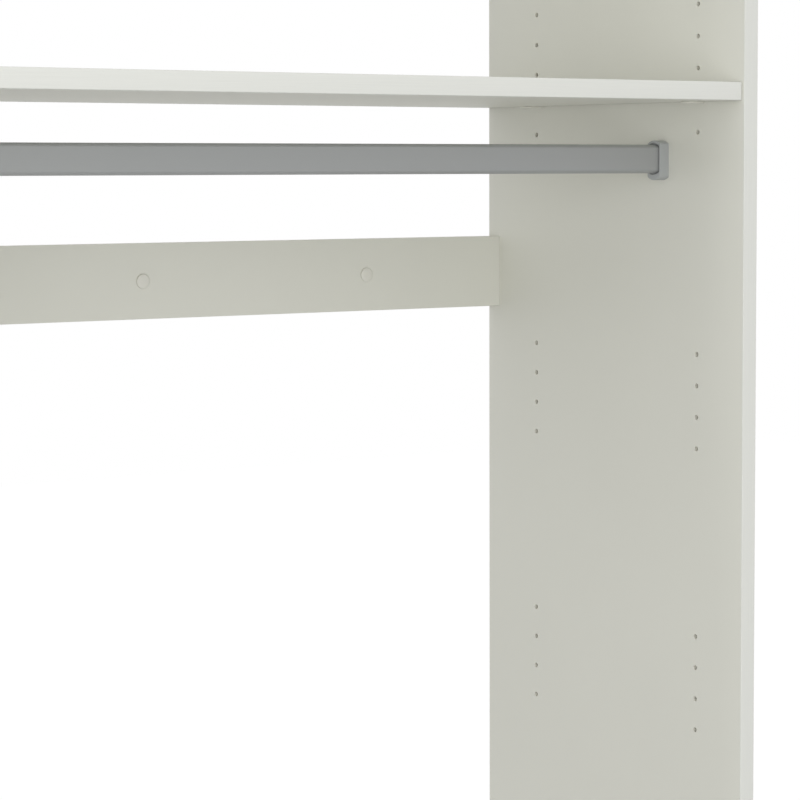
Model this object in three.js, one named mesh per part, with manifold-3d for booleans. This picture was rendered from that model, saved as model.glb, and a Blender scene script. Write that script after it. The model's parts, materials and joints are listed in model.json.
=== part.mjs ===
// One bay of a wall mounted closet system: two drilled side panels, a fixed top shelf, an adjustable shelf
// on push-in supports, an oval closet rod in closed collars, and two wall rails with capped wall screws.
//
// Millimetres. X runs to the right along the wall, Y runs into the wall and Z is up.
// The wall's face is Y = 0, and the origin is where the upper rail's middle wall screw enters it.

import * as THREE from "three";
import { mergeVertices } from "three/addons/utils/BufferGeometryUtils.js";
import Module from "manifold-3d";

const wasm = await Module();
wasm.setup();

// Boards and bay
const BAY_WIDTH = 914.4;
const PANEL_HEIGHT = 1828.8;
const PANEL_DEPTH = 406.4;
const BOARD_THICKNESS = 18;
const EDGE_BAND_THICKNESS = 1;
const EDGE_BAND_RADIUS = 0.8;
const EDGE_BAND_ARC_STEPS = 3;

// Pin holes, in two columns on each panel's inner face
const HOLE_PITCH = 32;
const HOLE_RADIUS = 2.5;
const HOLE_FLOOR = 6;
const FRONT_COLUMN_SETBACK = 68;
const REAR_COLUMN_SETBACK = 82.4;
const SHELF_ROW_HEIGHT = 179.9;
const ABOVE_SHELF_ROWS = 6;
const BELOW_SHELF_ROWS = 1;
const NEXT_GROUP_ROWS = 8;
const GROUP_REPEAT_ROWS = 9;
const GROUP_ROWS = 4;
const TOP_SHELF_ROWS = 12;
const LOWEST_ROW_RISE = 200;

// Adjustable shelf and its supports
const SHELF_SETBACK = 3;
const SHELF_END_GAP = 1.2;
const PADDLE_WIDTH = 20;
const PADDLE_LENGTH = 19.5;
const PADDLE_THICKNESS = 2;
const PADDLE_DROP = 1.5;
const SUPPORT_PIN_CLEARANCE = 0.1;
const SUPPORT_PIN_LENGTH = 10.5;
const SUPPORT_PIN_TIP = 1.2;
const SUPPORT_FLANGE_THICKNESS = 0.8;
const SUPPORT_FLANGE_LIP = 1.6;

// Wall rails
const RAIL_HEIGHT = 76.2;
const LOWER_RAIL_RISE = 50;
const RAIL_SCREW_SPACING = 277;

// Wall screws, cup washers and clip-on caps
const WALL_SCREW_LENGTH = 63.5;
const WALL_SCREW_RADIUS = 2.3;
const WALL_SCREW_TIP = 7;
const WALL_SCREW_CLEARANCE = 0.3;
const SCREW_HEAD_RADIUS = 4;
const SCREW_HEAD_HEIGHT = 1;
const SCREW_HEAD_CROWN = 0.35;
const WASHER_RADIUS = 6.4;
const WASHER_THICKNESS = 0.7;
const CAP_CLEARANCE = 0.4;
const CAP_WALL = 0.7;
const CAP_HEIGHT = 2.6;
const CAP_CROWN = 0.5;
const CAP_SKIRT = 1.1;

// Closet rod, a tube with flat sides and low arches at its top and bottom
const ROD_WIDTH = 14;
const ROD_HEIGHT = 29;
const ROD_ARCH_RISE = 3.3;
const ROD_WALL = 1.2;
const ROD_RISE = 121.2;
const ROD_SETBACK = 120.4;
const ROD_END_GAP = 0.5;

// Rod collars, whose middle lies a little lower than the rod's
const COLLAR_DROP = 1.4;
const COLLAR_LENGTH = 12.5;
const COLLAR_BASE = 3.2;
const COLLAR_MOUTH_DEPTH = 4.5;
const COLLAR_MOUTH_GAP = 1.8;
const COLLAR_LIP = 3.8;
const COLLAR_SIDE = 1.95;
const COLLAR_ARCH_RISE = 3.4;
const COLLAR_SEAT_CLEARANCE = 0.3;
const COLLAR_ROUNDING = 0.5;
const COLLAR_SCREW_SPACING = 17;
const COLLAR_SCREW_RADIUS = 1.7;
const COLLAR_SCREW_HEAD_RADIUS = 3.6;
const COLLAR_SCREW_HEAD_HEIGHT = 2;
const COLLAR_SCREW_BITE = 11;
const COLLAR_SCREW_TIP = 3;
const COLLAR_SCREW_CLEARANCE = 0.15;

// Cam fittings and dowels
const CAM_RADIUS = 7.3;
const CAM_CLEARANCE = 0.2;
const CAM_FLOOR = 5;
const CAM_END_DISTANCE = 24;
const CAM_SLOT_WIDTH = 1.6;
const CAM_SLOT_LENGTH = 9;
const CAM_SLOT_DEPTH = 2.5;
const BOLT_BORE_RADIUS = 4;
const BOLT_CLEARANCE = 0.3;
const BOLT_ANCHOR_RADIUS = 2.3;
const BOLT_ANCHOR_LENGTH = 11;
const BOLT_SHANK_RADIUS = 2.6;
const BOLT_FLANGE_THICKNESS = 1.5;
const BOLT_NECK_RADIUS = 1.8;
const BOLT_NECK_LENGTH = 3;
const BOLT_HEAD_RADIUS = 3.3;
const BOLT_HEAD_LENGTH = 2.8;
const DOWEL_RADIUS = 3.8;
const DOWEL_LENGTH = 30;
const DOWEL_CLEARANCE = 0.2;
const DOWEL_CHAMFER = 0.8;
const RAIL_CAM_RISE = 19;
const RAIL_DOWEL_DROP = 19;
const TOP_CAM_SETBACK = 70;

// Numbers of sides and steps
const HOLE_SIDES = 8;
const FASTENER_SIDES = 10;
const CAM_SIDES = 20;
const CAP_SIDES = 16;
const ARCH_STEPS = 8;
const PADDLE_STEPS = 12;
const CROWN_STEPS = 3;
const CUT_OVERRUN = 1;

const QUARTER_TURN = Math.PI / 2;
const HALF_TURN = Math.PI;

// Heights and places that several pieces share
const innerFace = BAY_WIDTH / 2;
const halfBoard = BOARD_THICKNESS / 2;
const topShelfHeight = SHELF_ROW_HEIGHT + TOP_SHELF_ROWS * HOLE_PITCH;
const panelTop = topShelfHeight + halfBoard;
const panelBottom = panelTop - PANEL_HEIGHT;
const shelfUnderside = SHELF_ROW_HEIGHT - PADDLE_DROP;
const lowerRailHeight = panelBottom + LOWER_RAIL_RISE + RAIL_HEIGHT / 2;
const rodDepth = ROD_SETBACK - PANEL_DEPTH;
const holeDepth = BOARD_THICKNESS - HOLE_FLOOR;
const columns = {
  front: FRONT_COLUMN_SETBACK - PANEL_DEPTH,
  rear: -REAR_COLUMN_SETBACK,
};
const rails = { upper: 0, lower: lowerRailHeight };
const sides = { left: -1, right: 1 };

const finishes = {
  board: new THREE.MeshStandardMaterial({ color: "#d9d8cf", roughness: 0.55, metalness: 0 }),
  edgeBand: new THREE.MeshStandardMaterial({ color: "#dededa", roughness: 0.45, metalness: 0 }),
  rod: new THREE.MeshStandardMaterial({ color: "#9a9d9c", roughness: 0.35, metalness: 0.6 }),
  collar: new THREE.MeshStandardMaterial({ color: "#949796", roughness: 0.45, metalness: 0.4 }),
  whitePlastic: new THREE.MeshStandardMaterial({ color: "#d4d4ca", roughness: 0.4, metalness: 0 }),
  steel: new THREE.MeshStandardMaterial({ color: "#b9bcc0", roughness: 0.35, metalness: 0.9 }),
  castZinc: new THREE.MeshStandardMaterial({ color: "#a7a9aa", roughness: 0.5, metalness: 0.8 }),
  dowelWood: new THREE.MeshStandardMaterial({ color: "#c9a878", roughness: 0.7, metalness: 0 }),
};

const closet = new THREE.Group();
closet.name = "closet_bay";

function addPiece(name, geometry, finish, parent = closet) {
  const piece = new THREE.Mesh(geometry, finish);
  piece.name = name;
  parent.add(piece);
  return piece;
}

// A closed geometry as a solid that can be joined and cut
function solid(geometry) {
  const bare = geometry.clone();
  bare.deleteAttribute("normal");
  bare.deleteAttribute("uv");
  const merged = mergeVertices(bare);
  const mesh = new wasm.Mesh({
    numProp: 3,
    vertProperties: Float32Array.from(merged.attributes.position.array),
    triVerts: Uint32Array.from(merged.index.array),
  });
  return new wasm.Manifold(mesh);
}

// The geometry of a solid
function geometryOf(body) {
  const mesh = body.getMesh();
  const geometry = new THREE.BufferGeometry();
  geometry.setAttribute("position", new THREE.BufferAttribute(Float32Array.from(mesh.vertProperties), 3));
  geometry.setIndex(new THREE.BufferAttribute(Uint32Array.from(mesh.triVerts), 1));
  geometry.computeVertexNormals();
  return geometry;
}

// A geometry with a list of geometries cut out of it
function cut(geometry, cutters) {
  let body = solid(geometry);
  for (const cutter of cutters) {
    body = body.subtract(solid(cutter));
  }
  return geometryOf(body);
}

function boxBetween(low, high) {
  const size = high.clone().sub(low);
  const middle = low.clone().add(high).divideScalar(2);
  return new THREE.BoxGeometry(size.x, size.y, size.z).translate(middle.x, middle.y, middle.z);
}

// A closed cylinder along X, between two places on that axis
function cylinderAlongX(radius, fromX, toX, sideCount) {
  const length = Math.abs(toX - fromX);
  return new THREE.CylinderGeometry(radius, radius, length, sideCount)
    .rotateZ(QUARTER_TURN)
    .translate((fromX + toX) / 2, 0, 0);
}

// A closed cylinder along Z, between two heights
function cylinderAlongZ(radius, fromZ, toZ, sideCount) {
  const length = Math.abs(toZ - fromZ);
  return new THREE.CylinderGeometry(radius, radius, length, sideCount)
    .rotateX(QUARTER_TURN)
    .translate(0, 0, (fromZ + toZ) / 2);
}

// A solid of revolution about X. Each point of the outline is [place along X, radius].
function turnedAlongX(outline, sideCount) {
  const points = outline.map(([along, radius]) => new THREE.Vector2(radius, along));
  return new THREE.LatheGeometry(points, sideCount).rotateZ(-QUARTER_TURN);
}

// A solid of revolution standing out of the rail's face. Each point is [height above that face, radius].
function turnedOutOfRail(outline, sideCount) {
  const points = outline.map(([height, radius]) => new THREE.Vector2(radius, height));
  return new THREE.LatheGeometry(points, sideCount).rotateX(HALF_TURN);
}

// The section of the rod and its socket: flat sides, with a low circular arch at the top and bottom
function archedOval(width, height, archRise) {
  const radius = (width * width / 4 + archRise * archRise) / (2 * archRise);
  const halfAngle = Math.asin(width / 2 / radius);
  const centre = height / 2 - radius;
  const shape = new THREE.Shape();
  shape.absarc(0, centre, radius, QUARTER_TURN - halfAngle, QUARTER_TURN + halfAngle, false);
  shape.absarc(0, -centre, radius, -QUARTER_TURN - halfAngle, -QUARTER_TURN + halfAngle, false);
  shape.closePath();
  return shape;
}

// A shape drawn in the panel's plane, Y across and Z up, extruded along X from a place
function extrudeAlongX(shape, fromX, length, bevel = 0) {
  const geometry = new THREE.ExtrudeGeometry(shape, {
    depth: length - 2 * bevel,
    curveSegments: ARCH_STEPS,
    bevelEnabled: bevel > 0,
    bevelThickness: bevel,
    bevelSize: bevel,
    bevelOffset: -bevel,
    bevelSegments: 1,
  });
  const panelPlane = new THREE.Matrix4().makeBasis(
    new THREE.Vector3(0, 1, 0),
    new THREE.Vector3(0, 0, 1),
    new THREE.Vector3(1, 0, 0),
  );
  return geometry.applyMatrix4(panelPlane).translate(fromX + bevel, 0, 0);
}

// Heights of the pin holes: one tall group around the shelf, then groups of four down the panel
function pinRowHeights() {
  const rowHeight = (rowsUp) => SHELF_ROW_HEIGHT + rowsUp * HOLE_PITCH;
  const heights = [];
  for (let row = ABOVE_SHELF_ROWS; row >= -BELOW_SHELF_ROWS; row -= 1) {
    heights.push(rowHeight(row));
  }
  const lowestRow = panelBottom + LOWEST_ROW_RISE;
  let groupStart = -NEXT_GROUP_ROWS;
  while (rowHeight(groupStart - GROUP_ROWS + 1) > lowestRow) {
    for (let row = 0; row < GROUP_ROWS; row += 1) {
      heights.push(rowHeight(groupStart - row));
    }
    groupStart -= GROUP_REPEAT_ROWS;
  }
  return heights;
}

// Heights of the two screws in each collar, from the rod's middle
const collarScrewRises = {
  upper: COLLAR_SCREW_SPACING / 2,
  lower: -COLLAR_SCREW_SPACING / 2,
};

// Where the top shelf's cam fittings sit, front and rear
const topCamPlaces = {
  front: TOP_CAM_SETBACK - PANEL_DEPTH,
  rear: -TOP_CAM_SETBACK,
};

// Everything drilled into a panel's inner face
function panelDrillings() {
  const drillings = [];
  const drill = (y, z, radius, sideCount) => drillings.push({ y, z, radius, sideCount });
  for (const column of Object.values(columns)) {
    for (const height of pinRowHeights()) {
      drill(column, height, HOLE_RADIUS, HOLE_SIDES);
    }
  }
  for (const railHeight of Object.values(rails)) {
    drill(-halfBoard, railHeight + RAIL_CAM_RISE, HOLE_RADIUS, FASTENER_SIDES);
    drill(-halfBoard, railHeight - RAIL_DOWEL_DROP, DOWEL_RADIUS + DOWEL_CLEARANCE, FASTENER_SIDES);
  }
  for (const place of Object.values(topCamPlaces)) {
    drill(place, topShelfHeight, HOLE_RADIUS, FASTENER_SIDES);
  }
  for (const rise of Object.values(collarScrewRises)) {
    drill(rodDepth, ROD_RISE + rise, COLLAR_SCREW_RADIUS + COLLAR_SCREW_CLEARANCE, FASTENER_SIDES);
  }
  return drillings;
}

// A side panel with its drilled inner face. The side is -1 on the left and 1 on the right.
function panelGeometry(side) {
  const middle = side * (innerFace + halfBoard);
  const board = boxBetween(
    new THREE.Vector3(middle - halfBoard, EDGE_BAND_THICKNESS - PANEL_DEPTH, panelBottom),
    new THREE.Vector3(middle + halfBoard, 0, panelTop),
  );
  const mouth = side * (innerFace - CUT_OVERRUN);
  const floor = side * (innerFace + holeDepth);
  const cutters = panelDrillings().map((drilling) =>
    cylinderAlongX(drilling.radius, mouth, floor, drilling.sideCount).translate(0, drilling.y, drilling.z));
  return cut(board, cutters);
}

// The strip glued to a board's front edge, its two outer corners rounded, drawn standing on its lower end
function edgeBandGeometry(width, length) {
  const half = width / 2;
  const radius = EDGE_BAND_RADIUS;
  const front = -EDGE_BAND_THICKNESS;
  const shape = new THREE.Shape();
  shape.moveTo(-half, 0);
  shape.lineTo(-half, front + radius);
  shape.absarc(radius - half, front + radius, radius, HALF_TURN, HALF_TURN + QUARTER_TURN, false);
  shape.absarc(half - radius, front + radius, radius, -QUARTER_TURN, 0, false);
  shape.lineTo(half, 0);
  shape.closePath();
  return new THREE.ExtrudeGeometry(shape, {
    depth: length,
    curveSegments: EDGE_BAND_ARC_STEPS,
    bevelEnabled: false,
  });
}

function addPanels() {
  for (const [name, side] of Object.entries(sides)) {
    addPiece(`${name}_panel`, panelGeometry(side), finishes.board);
    const band = edgeBandGeometry(BOARD_THICKNESS, PANEL_HEIGHT);
    band.translate(side * (innerFace + halfBoard), EDGE_BAND_THICKNESS - PANEL_DEPTH, panelBottom);
    addPiece(`${name}_panel_edge_band`, band, finishes.edgeBand);
  }
}

// An edge band laid level along X, centred on a height
function levelEdgeBand(length, front, height) {
  return edgeBandGeometry(BOARD_THICKNESS, length)
    .translate(0, 0, -length / 2)
    .rotateY(QUARTER_TURN)
    .translate(0, front + EDGE_BAND_THICKNESS, height);
}

// The cutters for one cam fitting, in the fitting's own frame: the board ends at X = 0 and runs to -X,
// X is the bolt's axis at the board's mid-thickness, and the cam drops in from the face at +Z.
function camCutters() {
  const camHole = cylinderAlongZ(
    CAM_RADIUS + CAM_CLEARANCE,
    CAM_FLOOR - halfBoard,
    halfBoard + CUT_OVERRUN,
    CAM_SIDES,
  ).translate(-CAM_END_DISTANCE, 0, 0);
  const boltBore = cylinderAlongX(BOLT_BORE_RADIUS, -CAM_END_DISTANCE, CUT_OVERRUN, FASTENER_SIDES);
  return [camHole, boltBore];
}

// The cast cam housing, in the fitting's own frame: a disc with a cross slot for the driver and a side
// opening that takes the bolt's head
function camGeometry() {
  const face = halfBoard - CAM_CLEARANCE;
  const disc = cylinderAlongZ(CAM_RADIUS, CAM_FLOOR + CAM_CLEARANCE - halfBoard, face, CAM_SIDES);
  const slotFloor = face - CAM_SLOT_DEPTH;
  const slotTop = face + CUT_OVERRUN;
  const slotAlong = boxBetween(
    new THREE.Vector3(-CAM_SLOT_LENGTH / 2, -CAM_SLOT_WIDTH / 2, slotFloor),
    new THREE.Vector3(CAM_SLOT_LENGTH / 2, CAM_SLOT_WIDTH / 2, slotTop),
  );
  const slotAcross = slotAlong.clone().rotateZ(QUARTER_TURN);
  const headRoom = cylinderAlongX(
    BOLT_HEAD_RADIUS + BOLT_CLEARANCE,
    -BOLT_HEAD_LENGTH,
    CAM_RADIUS + CUT_OVERRUN,
    FASTENER_SIDES,
  );
  return cut(disc, [slotAlong, slotAcross, headRoom]).translate(-CAM_END_DISTANCE, 0, 0);
}

// The bolt that screws into the panel and hooks into the cam, in the fitting's own frame
function camBoltGeometry() {
  const headEnd = -CAM_END_DISTANCE - BOLT_HEAD_LENGTH + BOLT_CLEARANCE;
  const neckEnd = headEnd + BOLT_HEAD_LENGTH;
  const shankEnd = neckEnd + BOLT_NECK_LENGTH;
  const flangeFace = -BOLT_CLEARANCE;
  const flangeRadius = BOLT_BORE_RADIUS - BOLT_CLEARANCE;
  const anchorRadius = BOLT_ANCHOR_RADIUS;
  return turnedAlongX([
    [headEnd, 0],
    [headEnd, BOLT_HEAD_RADIUS],
    [neckEnd, BOLT_HEAD_RADIUS],
    [neckEnd, BOLT_NECK_RADIUS],
    [shankEnd, BOLT_NECK_RADIUS],
    [shankEnd, BOLT_SHANK_RADIUS],
    [flangeFace - BOLT_FLANGE_THICKNESS, BOLT_SHANK_RADIUS],
    [flangeFace - BOLT_FLANGE_THICKNESS, flangeRadius],
    [flangeFace, flangeRadius],
    [flangeFace, anchorRadius],
    [BOLT_ANCHOR_LENGTH - anchorRadius, anchorRadius],
    [BOLT_ANCHOR_LENGTH, 0],
  ], FASTENER_SIDES);
}

// The turns and place that carry a fitting's own frame to one end of a board. The cam's open face is
// at +Z on the top shelf, and on a rail it is turned to the wall.
function fittingPlace(side, y, z, facesWall) {
  const place = new THREE.Object3D();
  place.rotation.x = facesWall ? -QUARTER_TURN : 0;
  place.rotation.z = side > 0 ? 0 : HALF_TURN;
  place.position.set(side * innerFace, y, z);
  place.updateMatrix();
  return place;
}

function placed(geometry, place) {
  return geometry.clone().applyMatrix4(place.matrix);
}

function addCamFitting(board, end, place) {
  const fitting = new THREE.Group();
  fitting.position.copy(place.position);
  fitting.rotation.copy(place.rotation);
  closet.add(fitting);
  addPiece(`${board}_cam_${end}`, camGeometry(), finishes.castZinc, fitting);
  addPiece(`${board}_cam_bolt_${end}`, camBoltGeometry(), finishes.steel, fitting);
}

function addTopShelf() {
  const board = boxBetween(
    new THREE.Vector3(-innerFace, EDGE_BAND_THICKNESS - PANEL_DEPTH, topShelfHeight - halfBoard),
    new THREE.Vector3(innerFace, 0, topShelfHeight + halfBoard),
  );
  const cutters = [];
  for (const [sideName, side] of Object.entries(sides)) {
    for (const [placeName, y] of Object.entries(topCamPlaces)) {
      const place = fittingPlace(side, y, topShelfHeight, false);
      cutters.push(...camCutters().map((cutter) => placed(cutter, place)));
      addCamFitting("top_shelf", `${sideName}_${placeName}`, place);
    }
  }
  addPiece("top_shelf", cut(board, cutters), finishes.board);
  const band = levelEdgeBand(BAY_WIDTH, -PANEL_DEPTH, topShelfHeight);
  addPiece("top_shelf_edge_band", band, finishes.edgeBand);
}

function addAdjustableShelf() {
  const length = BAY_WIDTH - 2 * SHELF_END_GAP;
  const front = SHELF_SETBACK - PANEL_DEPTH;
  const board = boxBetween(
    new THREE.Vector3(-length / 2, front + EDGE_BAND_THICKNESS, shelfUnderside),
    new THREE.Vector3(length / 2, 0, shelfUnderside + BOARD_THICKNESS),
  );
  addPiece("adjustable_shelf", board, finishes.board);
  const band = levelEdgeBand(length, front, shelfUnderside + halfBoard);
  addPiece("adjustable_shelf_edge_band", band, finishes.edgeBand);
}

// A moulded shelf support in its own frame: the panel's face is X = 0, the pin's axis is X, the pin runs
// into the panel at +X, and the D-shaped paddle reaches into the bay under the shelf
function shelfSupportGeometry() {
  const pinRadius = HOLE_RADIUS - SUPPORT_PIN_CLEARANCE;
  const flangeRadius = HOLE_RADIUS + SUPPORT_FLANGE_LIP;
  const pin = turnedAlongX([
    [-SUPPORT_FLANGE_THICKNESS, 0],
    [-SUPPORT_FLANGE_THICKNESS, flangeRadius],
    [0, flangeRadius],
    [0, pinRadius],
    [SUPPORT_PIN_LENGTH - SUPPORT_PIN_TIP, pinRadius],
    [SUPPORT_PIN_LENGTH, pinRadius - SUPPORT_PIN_TIP / 2],
    [SUPPORT_PIN_LENGTH, 0],
  ], HOLE_SIDES);
  const half = PADDLE_WIDTH / 2;
  const outline = new THREE.Shape();
  outline.moveTo(0, half);
  outline.lineTo(half - PADDLE_LENGTH, half);
  outline.absarc(half - PADDLE_LENGTH, 0, half, QUARTER_TURN, HALF_TURN + QUARTER_TURN, false);
  outline.lineTo(0, -half);
  outline.closePath();
  const paddle = new THREE.ExtrudeGeometry(outline, {
    depth: PADDLE_THICKNESS,
    curveSegments: PADDLE_STEPS,
    bevelEnabled: false,
  }).translate(0, 0, -PADDLE_DROP - PADDLE_THICKNESS);
  return geometryOf(solid(pin).add(solid(paddle)));
}

function addShelfSupports() {
  const geometry = shelfSupportGeometry();
  for (const [sideName, side] of Object.entries(sides)) {
    for (const [columnName, y] of Object.entries(columns)) {
      const name = `shelf_support_${sideName}_${columnName}`;
      const support = addPiece(name, geometry, finishes.whitePlastic);
      support.position.set(side * innerFace, y, SHELF_ROW_HEIGHT);
      support.rotation.z = side > 0 ? 0 : HALF_TURN;
    }
  }
}

const railScrewPlaces = {
  left: -RAIL_SCREW_SPACING,
  middle: 0,
  right: RAIL_SCREW_SPACING,
};

// A wall rail with its screw holes, its cam fittings' holes in the hidden face and its dowel holes
function railGeometry(height) {
  const board = boxBetween(
    new THREE.Vector3(-innerFace, -BOARD_THICKNESS, height - RAIL_HEIGHT / 2),
    new THREE.Vector3(innerFace, 0, height + RAIL_HEIGHT / 2),
  );
  const cutters = [];
  for (const x of Object.values(railScrewPlaces)) {
    cutters.push(
      new THREE.CylinderGeometry(
        WALL_SCREW_RADIUS + WALL_SCREW_CLEARANCE,
        WALL_SCREW_RADIUS + WALL_SCREW_CLEARANCE,
        BOARD_THICKNESS + 2 * CUT_OVERRUN,
        FASTENER_SIDES,
      ).translate(x, -halfBoard, height),
    );
  }
  for (const side of Object.values(sides)) {
    const place = fittingPlace(side, -halfBoard, height + RAIL_CAM_RISE, true);
    cutters.push(...camCutters().map((cutter) => placed(cutter, place)));
    const dowelDepth = DOWEL_LENGTH - holeDepth + 2 * DOWEL_CLEARANCE;
    cutters.push(
      cylinderAlongX(
        DOWEL_RADIUS + DOWEL_CLEARANCE,
        side * (innerFace - dowelDepth),
        side * (innerFace + CUT_OVERRUN),
        FASTENER_SIDES,
      ).translate(0, -halfBoard, height - RAIL_DOWEL_DROP),
    );
  }
  return cut(board, cutters);
}

function dowelGeometry() {
  const half = DOWEL_LENGTH / 2;
  return turnedAlongX([
    [-half, 0],
    [-half, DOWEL_RADIUS - DOWEL_CHAMFER],
    [DOWEL_CHAMFER - half, DOWEL_RADIUS],
    [half - DOWEL_CHAMFER, DOWEL_RADIUS],
    [half, DOWEL_RADIUS - DOWEL_CHAMFER],
    [half, 0],
  ], FASTENER_SIDES);
}

// The pan-head wall screw, from its tip in the wall to its head on the washer
function wallScrewGeometry() {
  const seat = WASHER_THICKNESS;
  const tip = seat + SCREW_HEAD_HEIGHT - WALL_SCREW_LENGTH;
  return turnedOutOfRail([
    [tip, 0],
    [tip + WALL_SCREW_TIP, WALL_SCREW_RADIUS],
    [seat, WALL_SCREW_RADIUS],
    [seat, SCREW_HEAD_RADIUS],
    [seat + SCREW_HEAD_HEIGHT - SCREW_HEAD_CROWN, SCREW_HEAD_RADIUS],
    [seat + SCREW_HEAD_HEIGHT, SCREW_HEAD_RADIUS - SCREW_HEAD_CROWN],
    [seat + SCREW_HEAD_HEIGHT, 0],
  ], FASTENER_SIDES);
}

// The flat ring under the screw's head, which the cap clips over
function washerGeometry() {
  const bore = WALL_SCREW_RADIUS + WALL_SCREW_CLEARANCE;
  return turnedOutOfRail([
    [0, bore],
    [0, WASHER_RADIUS],
    [WASHER_THICKNESS, WASHER_RADIUS],
    [WASHER_THICKNESS, bore],
    [0, bore],
  ], CAP_SIDES);
}

// The low dome of a cap, from its skirt to its middle
function crownOutline(radius, skirt, height) {
  const points = [];
  const rim = height - CAP_CROWN;
  for (let step = 0; step <= CROWN_STEPS; step += 1) {
    const share = 1 - step / CROWN_STEPS;
    const reach = radius - (rim - skirt);
    points.push([rim + CAP_CROWN * (1 - share * share), reach * share]);
  }
  return [[skirt, radius], ...points];
}

// The clip-on cap: a thin shell, open towards the rail
function capGeometry() {
  const radius = WASHER_RADIUS + CAP_CLEARANCE + CAP_WALL;
  const outer = crownOutline(radius, CAP_SKIRT, CAP_HEIGHT);
  const inner = crownOutline(radius - CAP_WALL, CAP_SKIRT - CAP_WALL / 2, CAP_HEIGHT - CAP_WALL);
  return turnedOutOfRail([
    ...inner.slice().reverse(),
    [0, radius - CAP_WALL],
    [0, radius],
    ...outer,
  ], CAP_SIDES);
}

function addRails() {
  const dowelShift = holeDepth - DOWEL_CLEARANCE - DOWEL_LENGTH / 2;
  for (const [railName, height] of Object.entries(rails)) {
    addPiece(`${railName}_wall_rail`, railGeometry(height), finishes.board);
    for (const [sideName, side] of Object.entries(sides)) {
      const place = fittingPlace(side, -halfBoard, height + RAIL_CAM_RISE, true);
      addCamFitting(`${railName}_rail`, sideName, place);
      const dowel = addPiece(`${railName}_rail_dowel_${sideName}`, dowelGeometry(), finishes.dowelWood);
      dowel.position.set(side * (innerFace + dowelShift), -halfBoard, height - RAIL_DOWEL_DROP);
    }
    for (const [screwName, x] of Object.entries(railScrewPlaces)) {
      const stack = new THREE.Group();
      stack.position.set(x, -BOARD_THICKNESS, height);
      closet.add(stack);
      addPiece(`${railName}_rail_wall_screw_${screwName}`, wallScrewGeometry(), finishes.steel, stack);
      addPiece(`${railName}_rail_washer_${screwName}`, washerGeometry(), finishes.whitePlastic, stack);
      addPiece(`${railName}_rail_screw_cap_${screwName}`, capGeometry(), finishes.whitePlastic, stack);
    }
  }
}

function addRod() {
  const length = BAY_WIDTH - 2 * (COLLAR_BASE + ROD_END_GAP);
  const section = archedOval(ROD_WIDTH, ROD_HEIGHT, ROD_ARCH_RISE);
  const bore = archedOval(ROD_WIDTH - 2 * ROD_WALL, ROD_HEIGHT - 2 * ROD_WALL, ROD_ARCH_RISE - ROD_WALL / 2);
  section.holes.push(bore);
  const rod = addPiece("closet_rod", extrudeAlongX(section, -length / 2, length), finishes.rod);
  rod.position.set(0, rodDepth, ROD_RISE);
}

// A rod collar in its own frame: the panel's face is X = 0, the rod's axis is X, and the closed cup
// reaches to -X. The mouth stands clear below the rod, and deeper in a saddle carries the rod.
function collarGeometry() {
  const outerWidth = ROD_WIDTH + 2 * (COLLAR_SEAT_CLEARANCE + COLLAR_SIDE);
  const outerHeight = ROD_HEIGHT + 2 * (COLLAR_MOUTH_GAP + COLLAR_LIP);
  const socketWidth = ROD_WIDTH + 2 * COLLAR_SEAT_CLEARANCE;
  const socketHeight = ROD_HEIGHT + 2 * COLLAR_SEAT_CLEARANCE;
  const mouthHeight = ROD_HEIGHT + 2 * COLLAR_MOUTH_GAP;
  const body = extrudeAlongX(
    archedOval(outerWidth, outerHeight, COLLAR_ARCH_RISE),
    -COLLAR_LENGTH,
    COLLAR_LENGTH + COLLAR_ROUNDING,
    COLLAR_ROUNDING,
  ).translate(0, 0, -COLLAR_DROP);
  const beyondPanel = boxBetween(
    new THREE.Vector3(0, -outerWidth, -outerHeight),
    new THREE.Vector3(COLLAR_LENGTH, outerWidth, outerHeight),
  );
  const socket = extrudeAlongX(
    archedOval(socketWidth, socketHeight, ROD_ARCH_RISE),
    -COLLAR_LENGTH - CUT_OVERRUN,
    COLLAR_LENGTH + CUT_OVERRUN - COLLAR_BASE,
  );
  const mouth = extrudeAlongX(
    archedOval(socketWidth, mouthHeight, ROD_ARCH_RISE),
    -COLLAR_LENGTH - CUT_OVERRUN,
    COLLAR_MOUTH_DEPTH + CUT_OVERRUN,
  ).translate(0, 0, -COLLAR_DROP);
  const screwHoles = Object.values(collarScrewRises).map((rise) => collarScrewSeat().translate(0, 0, rise));
  return cut(body, [beyondPanel, socket, mouth, ...screwHoles]);
}

// The countersunk hole for one collar screw
function collarScrewSeat() {
  const clear = COLLAR_SCREW_CLEARANCE;
  const shaft = COLLAR_SCREW_RADIUS + clear;
  const head = COLLAR_SCREW_HEAD_RADIUS + clear;
  return turnedAlongX([
    [-COLLAR_BASE - CUT_OVERRUN, 0],
    [-COLLAR_BASE - CUT_OVERRUN, head],
    [-COLLAR_BASE, head],
    [COLLAR_SCREW_HEAD_HEIGHT - COLLAR_BASE, shaft],
    [CUT_OVERRUN, shaft],
    [CUT_OVERRUN, 0],
  ], FASTENER_SIDES);
}

function collarScrewGeometry() {
  const headFace = COLLAR_SCREW_CLEARANCE - COLLAR_BASE;
  return turnedAlongX([
    [headFace, 0],
    [headFace, COLLAR_SCREW_HEAD_RADIUS],
    [headFace + COLLAR_SCREW_HEAD_HEIGHT, COLLAR_SCREW_RADIUS],
    [COLLAR_SCREW_BITE - COLLAR_SCREW_TIP, COLLAR_SCREW_RADIUS],
    [COLLAR_SCREW_BITE, 0],
  ], FASTENER_SIDES);
}

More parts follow.
